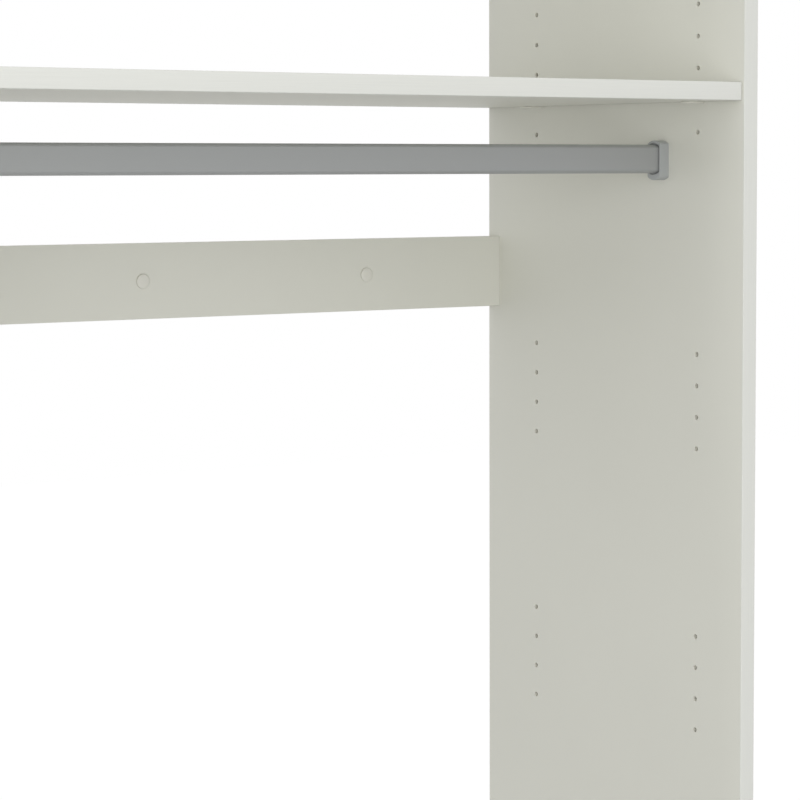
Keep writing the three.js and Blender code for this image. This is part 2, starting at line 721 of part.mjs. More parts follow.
function addCollars() {
  for (const [sideName, side] of Object.entries(sides)) {
    const end = new THREE.Group();
    end.position.set(side * innerFace, rodDepth, ROD_RISE);
    end.rotation.z = side > 0 ? 0 : HALF_TURN;
    closet.add(end);
    addPiece(`${sideName}_rod_collar`, collarGeometry(), finishes.collar, end);
    for (const [name, rise] of Object.entries(collarScrewRises)) {
      const screw = addPiece(`${sideName}_collar_screw_${name}`, collarScrewGeometry(), finishes.steel, end);
      screw.position.z = rise;
    }
  }
}

addPanels();
addTopShelf();
addAdjustableShelf();
addShelfSupports();
addRod();
addCollars();
addRails();

export default closet;
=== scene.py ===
"""One bay of a wall mounted closet system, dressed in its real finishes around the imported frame.

Lengths in this script are millimetres in the part's frame: X runs to the right along the wall, Y into
the wall and Z up. The last step of making a piece turns its mesh to metres.
"""

import json
import math

import bmesh
import bpy
from mathutils import Matrix, Vector


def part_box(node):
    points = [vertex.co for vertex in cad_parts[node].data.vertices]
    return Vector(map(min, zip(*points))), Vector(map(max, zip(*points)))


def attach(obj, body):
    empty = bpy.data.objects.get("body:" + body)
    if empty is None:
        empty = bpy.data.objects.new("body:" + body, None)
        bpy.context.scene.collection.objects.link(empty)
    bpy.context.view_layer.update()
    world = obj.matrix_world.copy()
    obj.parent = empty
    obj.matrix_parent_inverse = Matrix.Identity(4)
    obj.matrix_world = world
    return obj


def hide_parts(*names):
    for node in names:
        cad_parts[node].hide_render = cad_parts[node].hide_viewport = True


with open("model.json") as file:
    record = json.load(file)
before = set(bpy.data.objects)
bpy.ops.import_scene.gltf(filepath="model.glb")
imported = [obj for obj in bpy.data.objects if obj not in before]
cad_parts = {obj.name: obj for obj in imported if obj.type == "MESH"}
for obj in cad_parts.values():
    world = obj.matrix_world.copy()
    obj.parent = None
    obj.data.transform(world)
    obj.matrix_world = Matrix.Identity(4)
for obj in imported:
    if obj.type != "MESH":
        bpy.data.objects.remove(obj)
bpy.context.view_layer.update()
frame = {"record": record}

METRES_PER_MM = 0.001
QUARTER_TURN = math.pi / 2
FULL_TURN = 2 * math.pi
LEFTWARD = (-1, 0, 0)
RIGHTWARD = (1, 0, 0)
FORWARD = (0, -1, 0)
WALLWARD = (0, 1, 0)
DOWNWARD = (0, 0, -1)
UPWARD = (0, 0, 1)
OUTWARD = {"left": LEFTWARD, "right": RIGHTWARD}
INWARD = {"left": RIGHTWARD, "right": LEFTWARD}
RAILS = ("upper", "lower")
RAIL_PLACES = ("left", "middle", "right")
SIDES = ("left", "right")
side_sign = {"left": -1, "right": 1}

# The photograph's camera, fitted to the panel's edges and its 32 mm hole pattern
CAMERA_PLACE = (-1529.7, -2519.4, 111.3)
CAMERA_YAW_DEGREES = 36.497
CAMERA_PITCH_DEGREES = 4.219
CAMERA_ROLL_DEGREES = -0.1692
CAMERA_LENS = 130.87
CAMERA_SENSOR_WIDTH = 36
CAMERA_DROP_SHARE = 0.02
CAMERA_FAR_CLIP = 60000

# Studio
FLOOR_GAP = 50
FLOOR_REACH = 9000
SKY_BEHIND = 0.78
SKY_AHEAD = 0.98
SOFTBOX_PLACE = (-1400, -2400, -150)
SOFTBOX_AIM = (400, -100, 100)
SOFTBOX_SIZE = 2000
SOFTBOX_POWER = 20
FLOOR_TOP_UP = 0.61

# Steps in the fine meshes, how the meshes are mended, and detail in the fine textures
TURNED_SIDES = 48
CORNER_STEPS = 5
ARCH_STEPS = 8
ROUND_STEPS = 5
SMOOTH_ANGLE_DEGREES = 32
MERGE_DISTANCE = 0.002
SLIVER_SIDES = 4
PLAIN_DETAIL = 2
CAST_DETAIL = 4

# Drilled holes, and how far every cut runs past the surface
DRILL_SIDES = 32
DRILL_SIZES = ("radius", "depth", "lip")
CUT_OVERRUN = 0.5

# Boards, their bands and their pin holes
BOARD_ROUND = 0.25
BOARD_ROUND_STEPS = 2
BAND_ROUND = 0.8
HOLE_RADIUS = 2.5
HOLE_DEPTH = 12
HOLE_LIP = 0.15
HOLE_PITCH = 32
FRONT_COLUMN_SETBACK = 68
REAR_COLUMN_SETBACK = 82.4
ABOVE_SHELF_ROWS = 6
BELOW_SHELF_ROWS = 1
NEXT_GROUP_ROWS = 8
GROUP_REPEAT_ROWS = 9
GROUP_ROWS = 4
LOWEST_ROW_RISE = 200

# Shelf supports
PIN_ABOVE_PADDLE = 1.5
PIN_RADIUS = 2.4
PIN_LENGTH = 10.5
PIN_TIP = 1.2
PIN_RIBS = 6
PIN_RIB_HEIGHT = 0.15
PIN_FLANGE_RADIUS = 4.1
PIN_FLANGE_THICKNESS = 0.8
PIN_FLANGE_ROUND = 0.3
PADDLE_WIDTH = 20
PADDLE_LENGTH = 19.5
PADDLE_THICKNESS = 2
PADDLE_ROUND = 0.6
PADDLE_ARC_STEPS = 32

# Rod and collars
ROD_WIDTH = 14
ROD_HEIGHT = 29
ROD_WALL = 1.2
ROD_ARCH_RISE = 3.3
ROD_CORNER = 1.3
ROD_END_ROUND = 0.25
COLLAR_BASE = 3.2
COLLAR_MOUTH_DEPTH = 2.2
COLLAR_MOUTH_CLEARANCE = 1.6
COLLAR_MOUTH_ROUND = 0.25
COLLAR_ARCH_RISE = 3.4
COLLAR_CORNER = 1.8
COLLAR_ROUND = 0.35
COLLAR_SEAT_CLEARANCE = 0.3
COLLAR_SCREW_RISES = {"upper": 8.5, "lower": -8.5}
COLLAR_SCREW_RADIUS = 1.7
COLLAR_SCREW_THREAD = {"Crest": COLLAR_SCREW_RADIUS, "Root": 1.15, "Pitch": 1.6, "Tip": 3.5}
COLLAR_SCREW_BITE = 11
COLLAR_SCREW_CLEARANCE = 0.15
COLLAR_SCREW_HEAD_RADIUS = 3.6
COLLAR_SCREW_HEAD_HEIGHT = 2
COLLAR_SCREW_HEAD_ROUND = 0.15
COLLAR_SCREW_CROSS = {"arm": 1.9, "width": 0.8, "depth": 1.4}

# Wall screws, washers and caps
WALL_SCREW_RADIUS = 2.3
WALL_SCREW_THREAD = {"Crest": WALL_SCREW_RADIUS, "Root": 1.6, "Pitch": 2.6, "Tip": 9}
WALL_SCREW_LENGTH = 63.5
WALL_SCREW_CLEARANCE = 0.3
SCREW_HEAD_RADIUS = 4
SCREW_HEAD_HEIGHT = 1
SCREW_HEAD_ROUND = 0.45
WALL_SCREW_CROSS = {"arm": 2.1, "width": 0.9, "depth": 1.6}
WASHER_RADIUS = 6.4
WASHER_THICKNESS = 0.7
WASHER_ROUND = 0.3
CAP_RADIUS = 7.5
CAP_HEIGHT = 2.6
CAP_WALL = 0.7
CAP_SKIRT = 1.3
CAP_UNDERCUT = 0.6
CAP_BEAD = 0.3
CAP_CROWN_POWER = 0.85
CAP_CROWN_STEPS = 12

# Threads and cross recesses
SHANK_OVERLAP = 0.3
THREAD_SIDES = 16
THREAD_TURN_STEPS = 12
THREAD_RIDGE_SHARE = 0.3
POINT_SHARE = 0.06
CROSS_FLOOR_SHARE = 0.35

# Cam fittings and dowels
CAM_RADIUS = 7.3
CAM_CLEARANCE = 0.2
CAM_FLOOR = 5
CAM_END_DISTANCE = 24
CAM_RIM_THICKNESS = 1.4
CAM_RIM_STEP = 0.4
CAM_ROUND = 0.3
CAM_CROSS = {"arm": 4.5, "width": 1.6, "depth": 2.5}
BOLT_BORE_RADIUS = 4
BOLT_CLEARANCE = 0.3
BOLT_HEAD_RADIUS = 3.3
BOLT_HEAD_LENGTH = 2.8
BOLT_NECK_RADIUS = 1.8
BOLT_NECK_LENGTH = 3
BOLT_SHANK_RADIUS = 2.6
BOLT_FLANGE_THICKNESS = 1.5
BOLT_ROUND = 0.3
BOLT_ANCHOR_THREAD = {"Crest": 2.3, "Root": 1.7, "Pitch": 1.8, "Tip": 2.2}
BOLT_ANCHOR_LENGTH = 11
RAIL_CAM_RISE = 19
RAIL_DOWEL_DROP = 19
DOWEL_RADIUS = 3.8
DOWEL_LENGTH = 30
DOWEL_CHAMFER = 0.8
DOWEL_CLEARANCE = 0.2
DOWEL_FLUTES = 18
DOWEL_FLUTE_DEPTH = 0.3
FLUTE_SIDES = 6

# Surface colours
MELAMINE = "#E0E0D7"
MELAMINE_DRIFT = "#DEDED5"
EDGE_BAND = "#E2E3DD"
EDGE_BAND_SHADE = "#DDDED8"
CHIP_PALE = "#DAD4C3"
CHIP_MID = "#CCC4AF"
CHIP_DARK = "#B5AA92"
# Hole walls: pale, near the board's colour, as painted light that lifts the shade inside the holes
HOLE_WALL_PAINTED_LIGHT = "#E2E1D7"
ROD_GREY = "#A3A5A5"
COLLAR_GREY = "#ADB0B0"
WHITE_NYLON = "#DEDDD4"
ZINC_PLATE = "#C4C7CC"
CAST_ZINC = "#A7A9AB"
BEECH_PALE = "#D2B083"
BEECH_DARK = "#B98F5E"
FLOOR_PAINT = "#B4B4B4"
PURE_WHITE = "#FFFFFF"


def span(node):
    """The lowest and highest corner of a node, in millimetres."""
    low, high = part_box(node)
    return low / METRES_PER_MM, high / METRES_PER_MM


def middle_of(node):
    """The middle of a node's box, in millimetres."""
    low, high = span(node)
    return (low + high) / 2


# Places read from the frame
body_of = {}
for body, nodes in frame["record"]["behaviour"]["bodies"].items():
    body_of.update({node: body for node in nodes})
panel_low, panel_high = span("right_panel")
inner_face = panel_low.x
board_thickness = panel_high.x - panel_low.x
half_board = board_thickness / 2
panel_front = span("right_panel_edge_band")[0].y
column_places = {"front": panel_front + FRONT_COLUMN_SETBACK, "rear": -REAR_COLUMN_SETBACK}
shelf_row = span("adjustable_shelf")[0].z + PIN_ABOVE_PADDLE
rod_low, rod_high = span("closet_rod")
rod_middle = (rod_low + rod_high) / 2
rail_heights = {rail: middle_of(f"{rail}_wall_rail").z for rail in RAILS}
wall_screw_places = {place: middle_of(f"upper_rail_washer_{place}").x for place in RAIL_PLACES}
top_shelf_height = middle_of("top_shelf").z
top_cam_places = {place: middle_of(f"top_shelf_cam_right_{place}").y for place in ("front", "rear")}


# Nodes, for materials and for Geometry Nodes trees

def colour(hex_code):
    """An sRGB hex colour as the linear colour that a shader takes."""
    knee, slope, offset, power = 0.04045, 12.92, 0.055, 2.4
    channels = []
    for start in (1, 3, 5):
        value = int(hex_code[start:start + 2], 16) / 255
        channels.append(value / slope if value <= knee else ((value + offset) / (1 + offset)) ** power)
    return (*channels, 1)


def add_node(tree, kind, inputs=None, stops=(), **settings):
    """Adds a node. Each input is a value, the socket that feeds it, or the node whose first socket does.

    Stops are a ramp's places and colours.
    """
    made = tree.nodes.new(kind)
    for name, value in settings.items():
        setattr(made, name, value)
    for name, value in (inputs or {}).items():
        feed = value.outputs[0] if isinstance(value, bpy.types.Node) else value
        if isinstance(feed, bpy.types.NodeSocket):
            tree.links.new(feed, made.inputs[name])
        else:
            made.inputs[name].default_value = value
    for index, (place, hex_code) in enumerate(stops):
        elements = made.color_ramp.elements
        element = elements[index] if index < len(elements) else elements.new(place)
        element.position = place
        element.color = colour(hex_code)
    return made


def emptied_tree(owner):
    """The node tree of a material or a world, without its first nodes."""
    owner.use_nodes = True
    owner.node_tree.nodes.clear()
    return owner.node_tree


def per_metre(size):
    """The scale that gives a texture a grain of a real size, in millimetres."""
    return 1 / (size * METRES_PER_MM)


def geometry_tree(name, inputs):
    """A Geometry Nodes tree with named inputs, and the sockets that its inputs come from."""
    tree = bpy.data.node_groups.new(name, "GeometryNodeTree")
    for label, kind in inputs.items():
        tree.interface.new_socket(label, in_out="INPUT", socket_type=f"NodeSocket{kind}")
    tree.interface.new_socket("Result", in_out="OUTPUT", socket_type="NodeSocketGeometry")
    return tree, add_node(tree, "NodeGroupInput").outputs


def end_tree(tree, geometry, finish):
    """Ends a tree with real geometry in one finish."""
    realized = add_node(tree, "GeometryNodeRealizeInstances", {"Geometry": geometry})
    finished = add_node(tree, "GeometryNodeSetMaterial", {"Geometry": realized, "Material": finish})
    add_node(tree, "NodeGroupOutput", {"Result": finished})
    return tree


def place_about_x(tree):
    """Each vertex's place, that place along each axis, and its angle about X."""
    place = add_node(tree, "GeometryNodeInputPosition")
    where = add_node(tree, "ShaderNodeSeparateXYZ", {0: place})
    angle = add_node(
        tree, "ShaderNodeMath", {0: where.outputs["Z"], 1: where.outputs["Y"]}, operation="ARCTAN2",
    )
    return place, where.outputs, angle


def scaled_about_x(tree, geometry, place, share):
    """A mesh with each vertex's distance from X scaled by a share."""
    stretch = add_node(tree, "ShaderNodeCombineXYZ", {"X": 1, "Y": share, "Z": share})
    scaled = add_node(tree, "ShaderNodeVectorMath", {0: place, 1: stretch}, operation="MULTIPLY")
    return add_node(tree, "GeometryNodeSetPosition", {"Geometry": geometry, "Position": scaled})


def drilling_tree():
    """Cuts a round hole with a 45 degree lip at each drill point of a mesh."""
    tree, given = geometry_tree("drilling", {
        "Board": "Geometry", "Sides": "Int", "Overrun": "Float", "Finish": "Material",
    })
    maths = "ShaderNodeMath"
    named = {}
    for label in (*DRILL_SIZES, "into"):
        named[label] = add_node(
            tree, "GeometryNodeInputNamedAttribute", {"Name": f"drill_{label}"},
            data_type="FLOAT_VECTOR" if label == "into" else "FLOAT",
        )
    is_drill = add_node(tree, "FunctionNodeCompare", {"A": named["radius"]}, operation="GREATER_THAN")
    parts = add_node(
        tree, "GeometryNodeSeparateGeometry", {"Geometry": given["Board"], "Selection": is_drill},
    )
    backwards = add_node(tree, maths, {0: given["Overrun"], 1: -1}, operation="MULTIPLY")
    shift = add_node(
        tree, "ShaderNodeVectorMath", {0: named["into"], "Scale": backwards}, operation="SCALE",
    )
    starts = add_node(tree, "GeometryNodeSetPosition", {"Geometry": parts, "Offset": shift})
    turn = add_node(tree, "FunctionNodeAlignRotationToVector", {"Vector": named["into"]}, axis="Z")
    reach = add_node(tree, maths, {0: named["depth"], 1: given["Overrun"]}, operation="ADD")
    drill_size = add_node(
        tree, "ShaderNodeCombineXYZ", {"X": named["radius"], "Y": named["radius"], "Z": reach},
    )
    mouth = add_node(tree, maths, {0: named["radius"], 1: named["lip"]}, operation="ADD")
    sink_size = add_node(tree, maths, {0: mouth, 1: given["Overrun"]}, operation="ADD")
    has_lip = add_node(tree, "FunctionNodeCompare", {"A": named["lip"]}, operation="GREATER_THAN")
    board = parts.outputs["Inverted"]
    for top_radius, size, is_cut in ((1, drill_size, True), (0, sink_size, has_lip)):
        unit = add_node(tree, "GeometryNodeMeshCone", {
            "Vertices": given["Sides"], "Radius Top": top_radius, "Radius Bottom": 1, "Depth": 1,
        })
        cutters = add_node(tree, "GeometryNodeInstanceOnPoints", {
            "Points": starts, "Selection": is_cut, "Instance": unit, "Rotation": turn, "Scale": size,
        })
        board = add_node(
            tree, "GeometryNodeMeshBoolean",
            {"Mesh 1": board, "Mesh 2": cutters, "Self Intersection": True},
            operation="DIFFERENCE", solver="EXACT",
        )
    return end_tree(tree, board, given["Finish"])


def threading_tree():
    """Grows a threaded, pointed shank along X and joins it to a screw's head."""
    tree, given = geometry_tree("threading", {
        "Head": "Geometry", "Length": "Float", "Crest": "Float", "Root": "Float", "Pitch": "Float",
        "Tip": "Float", "Ridge share": "Float", "Sides": "Int", "Turn steps": "Float", "Finish": "Material",
    })
    maths = "ShaderNodeMath"
    end = add_node(tree, "ShaderNodeCombineXYZ", {"X": given["Length"]})
    axis = add_node(tree, "GeometryNodeCurvePrimitiveLine", {"End": end})
    turns = add_node(tree, maths, {0: given["Length"], 1: given["Pitch"]}, operation="DIVIDE")
    steps = add_node(tree, maths, {0: turns, 1: given["Turn steps"]}, operation="MULTIPLY")
    stations = add_node(tree, "GeometryNodeResampleCurve", {"Curve": axis, "Count": steps}, mode="COUNT")
    ring = add_node(
        tree, "GeometryNodeCurvePrimitiveCircle", {"Resolution": given["Sides"], "Radius": 1},
        mode="RADIUS",
    )
    rod = add_node(
        tree, "GeometryNodeCurveToMesh", {"Curve": stations, "Profile Curve": ring, "Fill Caps": True},
    )
    place, where, angle = place_about_x(tree)
    angle_share = add_node(tree, maths, {0: angle, 1: FULL_TURN}, operation="DIVIDE")
    turn_share = add_node(tree, maths, {0: where["X"], 1: given["Pitch"]}, operation="DIVIDE")
    phase = add_node(tree, maths, {0: turn_share, 1: angle_share}, operation="SUBTRACT")
    wrapped = add_node(tree, maths, {0: phase, 1: 1, 2: 0}, operation="WRAP")
    from_crest = add_node(tree, maths, {0: wrapped, 1: 0.5}, operation="SUBTRACT")
    distance = add_node(tree, maths, {0: from_crest}, operation="ABSOLUTE")
    ridge = add_node(tree, "ShaderNodeMapRange", {
        "Value": distance, "From Min": given["Ridge share"], "From Max": 0,
        "To Min": given["Root"], "To Max": given["Crest"],
    })
    rest = add_node(tree, maths, {0: given["Length"], 1: where["X"]}, operation="SUBTRACT")
    taper = add_node(tree, "ShaderNodeMapRange", {
        "Value": rest, "From Max": given["Tip"], "To Min": POINT_SHARE,
    })
    run_in = add_node(tree, "ShaderNodeMapRange", {
        "Value": turn_share, "To Min": given["Root"], "To Max": ridge,
    })
    radius = add_node(tree, maths, {0: run_in, 1: taper}, operation="MULTIPLY")
    shank = scaled_about_x(tree, rod, place, radius)
    screw = add_node(
        tree, "GeometryNodeMeshBoolean", {"Mesh 2": shank, "Self Intersection": True},
        operation="UNION", solver="EXACT",
    )
    tree.links.new(given["Head"], screw.inputs["Mesh 2"])
    return end_tree(tree, screw, given["Finish"])


def fluting_tree():
    """Presses even flutes, or crush ribs, along a round peg that lies on X."""
    tree, given = geometry_tree("fluting", {
        "Peg": "Geometry", "Count": "Float", "Depth share": "Float", "Finish": "Material",
    })
    maths = "ShaderNodeMath"
    place, _, angle = place_about_x(tree)
    phase = add_node(tree, maths, {0: angle, 1: given["Count"]}, operation="MULTIPLY")
    wave = add_node(tree, maths, {0: phase}, operation="COSINE")
    shrink = add_node(tree, "ShaderNodeMapRange", {
        "Value": wave, "From Min": -1, "From Max": 1, "To Min": 0, "To Max": given["Depth share"],
    })
    kept = add_node(tree, maths, {0: 1, 1: shrink}, operation="SUBTRACT")
    return end_tree(tree, scaled_about_x(tree, given["Peg"], place, kept), given["Finish"])


# Objects, as holders of meshes

def add_object(name, data):
    """Puts an object in the scene."""
    made = bpy.data.objects.new(name, data)
    bpy.context.scene.collection.objects.link(made)
    return made


def modified_mesh(holder):
    """The mended mesh that an object's modifier makes. The object goes away."""
    evaluated = holder.evaluated_get(bpy.context.evaluated_depsgraph_get())
    result = bpy.data.meshes.new_from_object(evaluated)
    holder.modifiers.clear()
    bpy.data.objects.remove(holder)
    return mesh_of(skin_of(result))


def grown(mesh, tree, values):
    """The mesh that a tree makes from a mesh, with its inputs set by name."""
    seed = add_object("seed", mesh)
    modifier = seed.modifiers.new(tree.name, "NODES")
    modifier.node_group = tree
    for item in tree.interface.items_tree:
        if item.item_type == "SOCKET" and item.name in values:
            modifier[item.identifier] = values[item.name]
    return modified_mesh(seed)


def combined(mesh, tool, operation):
    """A solid with a tool joined to it or cut out of it."""
    holder = add_object("solid", mesh)
    cutter = add_object("tool", tool)
    modifier = holder.modifiers.new("combine", "BOOLEAN")
    modifier.operation = operation
    modifier.solver = "EXACT"
    modifier.object = cutter
    result = modified_mesh(holder)
    bpy.data.objects.remove(cutter)
    return result


# Meshes, in millimetres

def quarter_round(radius):
    """The steps of a rounded edge: how far in from the edge's plane, and how far in from its side."""
    steps = []
    for step in range(ROUND_STEPS + 1):
        angle = QUARTER_TURN * step / ROUND_STEPS
        steps.append((radius * (1 - math.cos(angle)), radius * (1 - math.sin(angle))))
    return steps


def filleted(outline):
    """An outline with its corners rounded. Each corner is (along, across) or (along, across, radius)."""
    points = []
    for index, corner in enumerate(outline):
        here = Vector(corner[:2])
        if len(corner) == 2:
            points.append(here)
            continue
        radius = corner[2]
        before = (Vector(outline[index - 1][:2]) - here).normalized()
        after = (Vector(outline[(index + 1) % len(outline)][:2]) - here).normalized()
        half_angle = before.angle(after) / 2
        centre = here + (before + after).normalized() * (radius / math.sin(half_angle))
        tangent = radius / math.tan(half_angle)
        start = here + before * tangent - centre
        end = here + after * tangent - centre
        for step in range(ROUND_STEPS + 1):
            points.append(centre + start.lerp(end, step / ROUND_STEPS).normalized() * radius)
    return points


def skin_of(mesh):
    """A skin to work on, from a mesh."""
    skin = bmesh.new()
    skin.from_mesh(mesh)
    return skin


def mesh_of(skin):
    """The mesh of a closed skin, with doubles merged, lost slivers filled and its faces pointing out."""
    bmesh.ops.remove_doubles(skin, verts=skin.verts, dist=MERGE_DISTANCE)
    loose = [edge for edge in skin.edges if not edge.link_faces]
    bmesh.ops.delete(skin, geom=loose, context="EDGES")
    bmesh.ops.holes_fill(skin, edges=skin.edges, sides=SLIVER_SIDES)
    bmesh.ops.recalc_face_normals(skin, faces=skin.faces)
    mesh = bpy.data.meshes.new("piece")
    skin.to_mesh(mesh)
    skin.free()
    return mesh


def loft(rings, closed=False):
    """A skin over rings of points, with flat ends, or with its last ring joined to its first."""
    skin = bmesh.new()
    rows = [[skin.verts.new(point) for point in ring] for ring in rings]
    pairs = list(zip(rows, rows[1:]))
    if closed:
        pairs.append((rows[-1], rows[0]))
    else:
        skin.faces.new(rows[0])
        skin.faces.new(rows[-1])
    for row, next_row in pairs:
        for index, corner in enumerate(row):
            after = (index + 1) % len(row)
            skin.faces.new((corner, row[after], next_row[after], next_row[index]))
    return mesh_of(skin)


def turned(outline, sides=TURNED_SIDES, closed=False):
    """A solid of revolution about X, from an outline of (along X, radius)."""
    rings = []
    for along, radius in outline:
        ring = []
        for side in range(sides):
            angle = FULL_TURN * side / sides
            ring.append((along, radius * math.cos(angle), radius * math.sin(angle)))
        rings.append(ring)
    return loft(rings, closed)


def board(low, high):
    """A sawn board between two corners, with its arrises just broken."""
    skin = bmesh.new()
    bmesh.ops.create_cube(skin, size=1)
    bmesh.ops.scale(skin, vec=high - low, verts=skin.verts)
    bmesh.ops.translate(skin, vec=(high + low) / 2, verts=skin.verts)
    bmesh.ops.bevel(
        skin, geom=skin.edges, offset=BOARD_ROUND, segments=BOARD_ROUND_STEPS, profile=0.5, affect="EDGES",
    )
    return mesh_of(skin)


def placement(at, along, up):
    """The matrix that carries local X along one direction and local Z along another, to a place."""
    along, up = Vector(along), Vector(up)
    turn = Matrix((along, up.cross(along), up)).transposed()
    return Matrix.Translation(at) @ turn.to_4x4()


def fitting_place(side, y, z):
    """The place of a fitting on a panel: local X runs into the panel from its inner face."""
    return placement((side_sign[side] * inner_face, y, z), OUTWARD[side], UPWARD)


def along_x(distance):
    """The matrix that shifts a mesh along X."""
    return Matrix.Translation((distance, 0, 0))


def moved(mesh, matrix):
    """A copy of a mesh, put in its place."""
    copy = mesh.copy()
    copy.transform(matrix)
    return copy


def cross_recess(arm, width, depth):
    """The cutter for a driver's cross recess. It is open at X = 0 and narrows along X."""
    half = width / 2
    quarter = (Vector((arm, -half)), Vector((arm, half)), Vector((half, half)))
    outline = []
    for turn in range(4):
        outline += [Matrix.Rotation(QUARTER_TURN * turn, 2) @ corner for corner in quarter]
    rings = []
    for along, share in ((-CUT_OVERRUN, 1), (0, 1), (depth, CROSS_FLOOR_SHARE)):
        rings.append([(along, corner.x * share, corner.y * share) for corner in outline])
    return loft(rings)


def arched_oval(width, height, arch_rise, corner, inset=0):
    """A section with flat sides and a low arch at its top and bottom, as points of (across, up)."""
    arch_radius = (width * width / 4 + arch_rise * arch_rise) / (2 * arch_rise)
    arch_centre = height / 2 - arch_radius
    corner_across = width / 2 - corner
    corner_rise = math.sqrt((arch_radius - corner) ** 2 - corner_across ** 2)
    turn = math.atan2(corner_rise, corner_across)
    quarter = []
    for step in range(CORNER_STEPS + 1):
        angle = turn * step / CORNER_STEPS
        reach = corner - inset
        across = corner_across + reach * math.cos(angle)
        quarter.append((across, arch_centre + corner_rise + reach * math.sin(angle)))
    for step in range(1, ARCH_STEPS):
        angle = turn + (QUARTER_TURN - turn) * step / ARCH_STEPS
        reach = arch_radius - inset
        quarter.append((reach * math.cos(angle), arch_centre + reach * math.sin(angle)))
    peak = [(0, arch_centre + arch_radius - inset)]
    top = quarter + peak + [(-across, up) for across, up in reversed(quarter)]
    return top + [(-across, -up) for across, up in top]


def across_x(along, section, drop=0):
    """A section as a ring at one place along X."""
    return [(along, across, up - drop) for across, up in section]


def drill(at, into, radius, depth, lip=0):
    """One drilled hole: where it starts, which way it runs, and its sizes."""
    return {"at": Vector(at), "into": Vector(into), "radius": radius, "depth": depth, "lip": lip}


def drilled(mesh, holes, finish):
    """A mesh with its holes cut. Each hole goes into the tree as a loose point."""
    skin = skin_of(mesh)
    layers = skin.verts.layers
    layers.float_vector.new("drill_into")
    for size in DRILL_SIZES:
        layers.float.new(f"drill_{size}")
    for hole in holes:
        point = skin.verts.new(hole["at"])
        point[layers.float_vector["drill_into"]] = hole["into"]
        for size in DRILL_SIZES:
            point[layers.float[f"drill_{size}"]] = hole[size]
    skin.to_mesh(mesh)
    skin.free()
    values = {"Sides": DRILL_SIDES, "Overrun": CUT_OVERRUN, "Finish": finish}
    return grown(mesh, drilling, values)


def threaded(outline, end, thread):
    """A screw about X: a head with an outline, and a threaded shank from the outline's last place."""
    start = outline[-1][0] - SHANK_OVERLAP
    head = moved(turned(filleted(outline)), along_x(-start))
    screw = grown(head, threading, {
        "Length": end - start, **thread, "Sides": THREAD_SIDES, "Turn steps": THREAD_TURN_STEPS,
        "Ridge share": THREAD_RIDGE_SHARE, "Finish": finishes["plated_steel"],
    })
    return moved(screw, along_x(start))


def cross_headed(screw, face, cross):
    """A screw with a driver's cross recess in its face."""
    return combined(screw, moved(cross_recess(**cross), along_x(face)), "DIFFERENCE")


def shaded(mesh):
    """Smooth curves between crisp edges."""
    mesh.set_sharp_from_angle(angle=math.radians(SMOOTH_ANGLE_DEGREES))
    return mesh


def show_core(mesh, low, high, sawn_sides, core):
    """Gives a board's sawn sides and its holes their own finishes."""
    mesh.materials.clear()
    for finish in (finishes["melamine"], core, finishes["drilled"]):
        mesh.materials.append(finish)
    shaded(mesh)
    flat_share = math.cos(math.radians(SMOOTH_ANGLE_DEGREES))
    for face in mesh.polygons:
        axis = max(range(3), key=lambda each: abs(face.normal[each]))
        end = 1 if face.normal[axis] > 0 else -1
        depth = abs(face.center[axis] - (high if end > 0 else low)[axis])
        is_outside = abs(face.normal[axis]) > flat_share and depth < BOARD_ROUND
        is_sawn = (axis, end) in sawn_sides
        face.material_index = int(is_sawn) if is_outside else 2
        face.use_smooth = depth > MERGE_DISTANCE


def add_piece(name, mesh, node):
    """Puts a finished mesh in the scene in place of a node, on the body that the node rides on."""
    mesh.name = name
    for label in [each.name for each in mesh.attributes if each.name.startswith("drill_")]:
        mesh.attributes.remove(mesh.attributes[label])
    mesh.transform(Matrix.Scale(METRES_PER_MM, 4))
    piece = add_object(name, mesh)
    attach(piece, body_of[node])
    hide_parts(node)


def add_solid(name, mesh, node, finish):
    """Adds a piece that has one finish all over."""
    mesh.materials.clear()
    mesh.materials.append(finishes[finish])
    add_piece(name, shaded(mesh), node)


def add_board(name, node, holes, sawn_sides, core):
    """Adds a laminated board with its holes drilled. A sawn side is an axis, and -1 or 1."""
    low, high = span(node)
    mesh = board(low, high)
    if holes:
        mesh = drilled(mesh, holes, finishes["melamine"])
    show_core(mesh, low, high, sawn_sides, finishes[core])
    add_piece(name, mesh, node)


# Finishes

def start_finish(name):
    """A material, its tree, and the coordinates that its patterns follow."""
    made = bpy.data.materials.new(name)
    tree = emptied_tree(made)
    return made, tree, add_node(tree, "ShaderNodeTexCoord").outputs["Object"]


def end_finish(tree, settings, grain=None, height=0):
    """Ends a finish with its shader. A grain raises its surface, by a height in millimetres."""
    relief = {}
    if grain:
        relief["Normal"] = add_node(
            tree, "ShaderNodeBump", {"Height": grain, "Distance": height * METRES_PER_MM},
        )
    shader = add_node(tree, "ShaderNodeBsdfPrincipled", {**settings, **relief})
    add_node(tree, "ShaderNodeOutputMaterial", {"Surface": shader})


def stretched(tree, where, size, axis, axis_size):
    """Coordinates for a pattern of one size in millimetres, with another size along one axis."""
    scale = [per_metre(size)] * 3
    scale[axis] = per_metre(axis_size)
    return add_node(tree, "ShaderNodeMapping", {"Vector": where, "Scale": scale})


def grained_finish(name, size, height, detail, settings):
    """A finish of one colour and gloss, with a fine even grain."""
    made, tree, where = start_finish(name)
    grain = add_node(
        tree, "ShaderNodeTexNoise", {"Vector": where, "Scale": per_metre(size), "Detail": detail},
    )
    end_finish(tree, settings, grain, height)
    return made


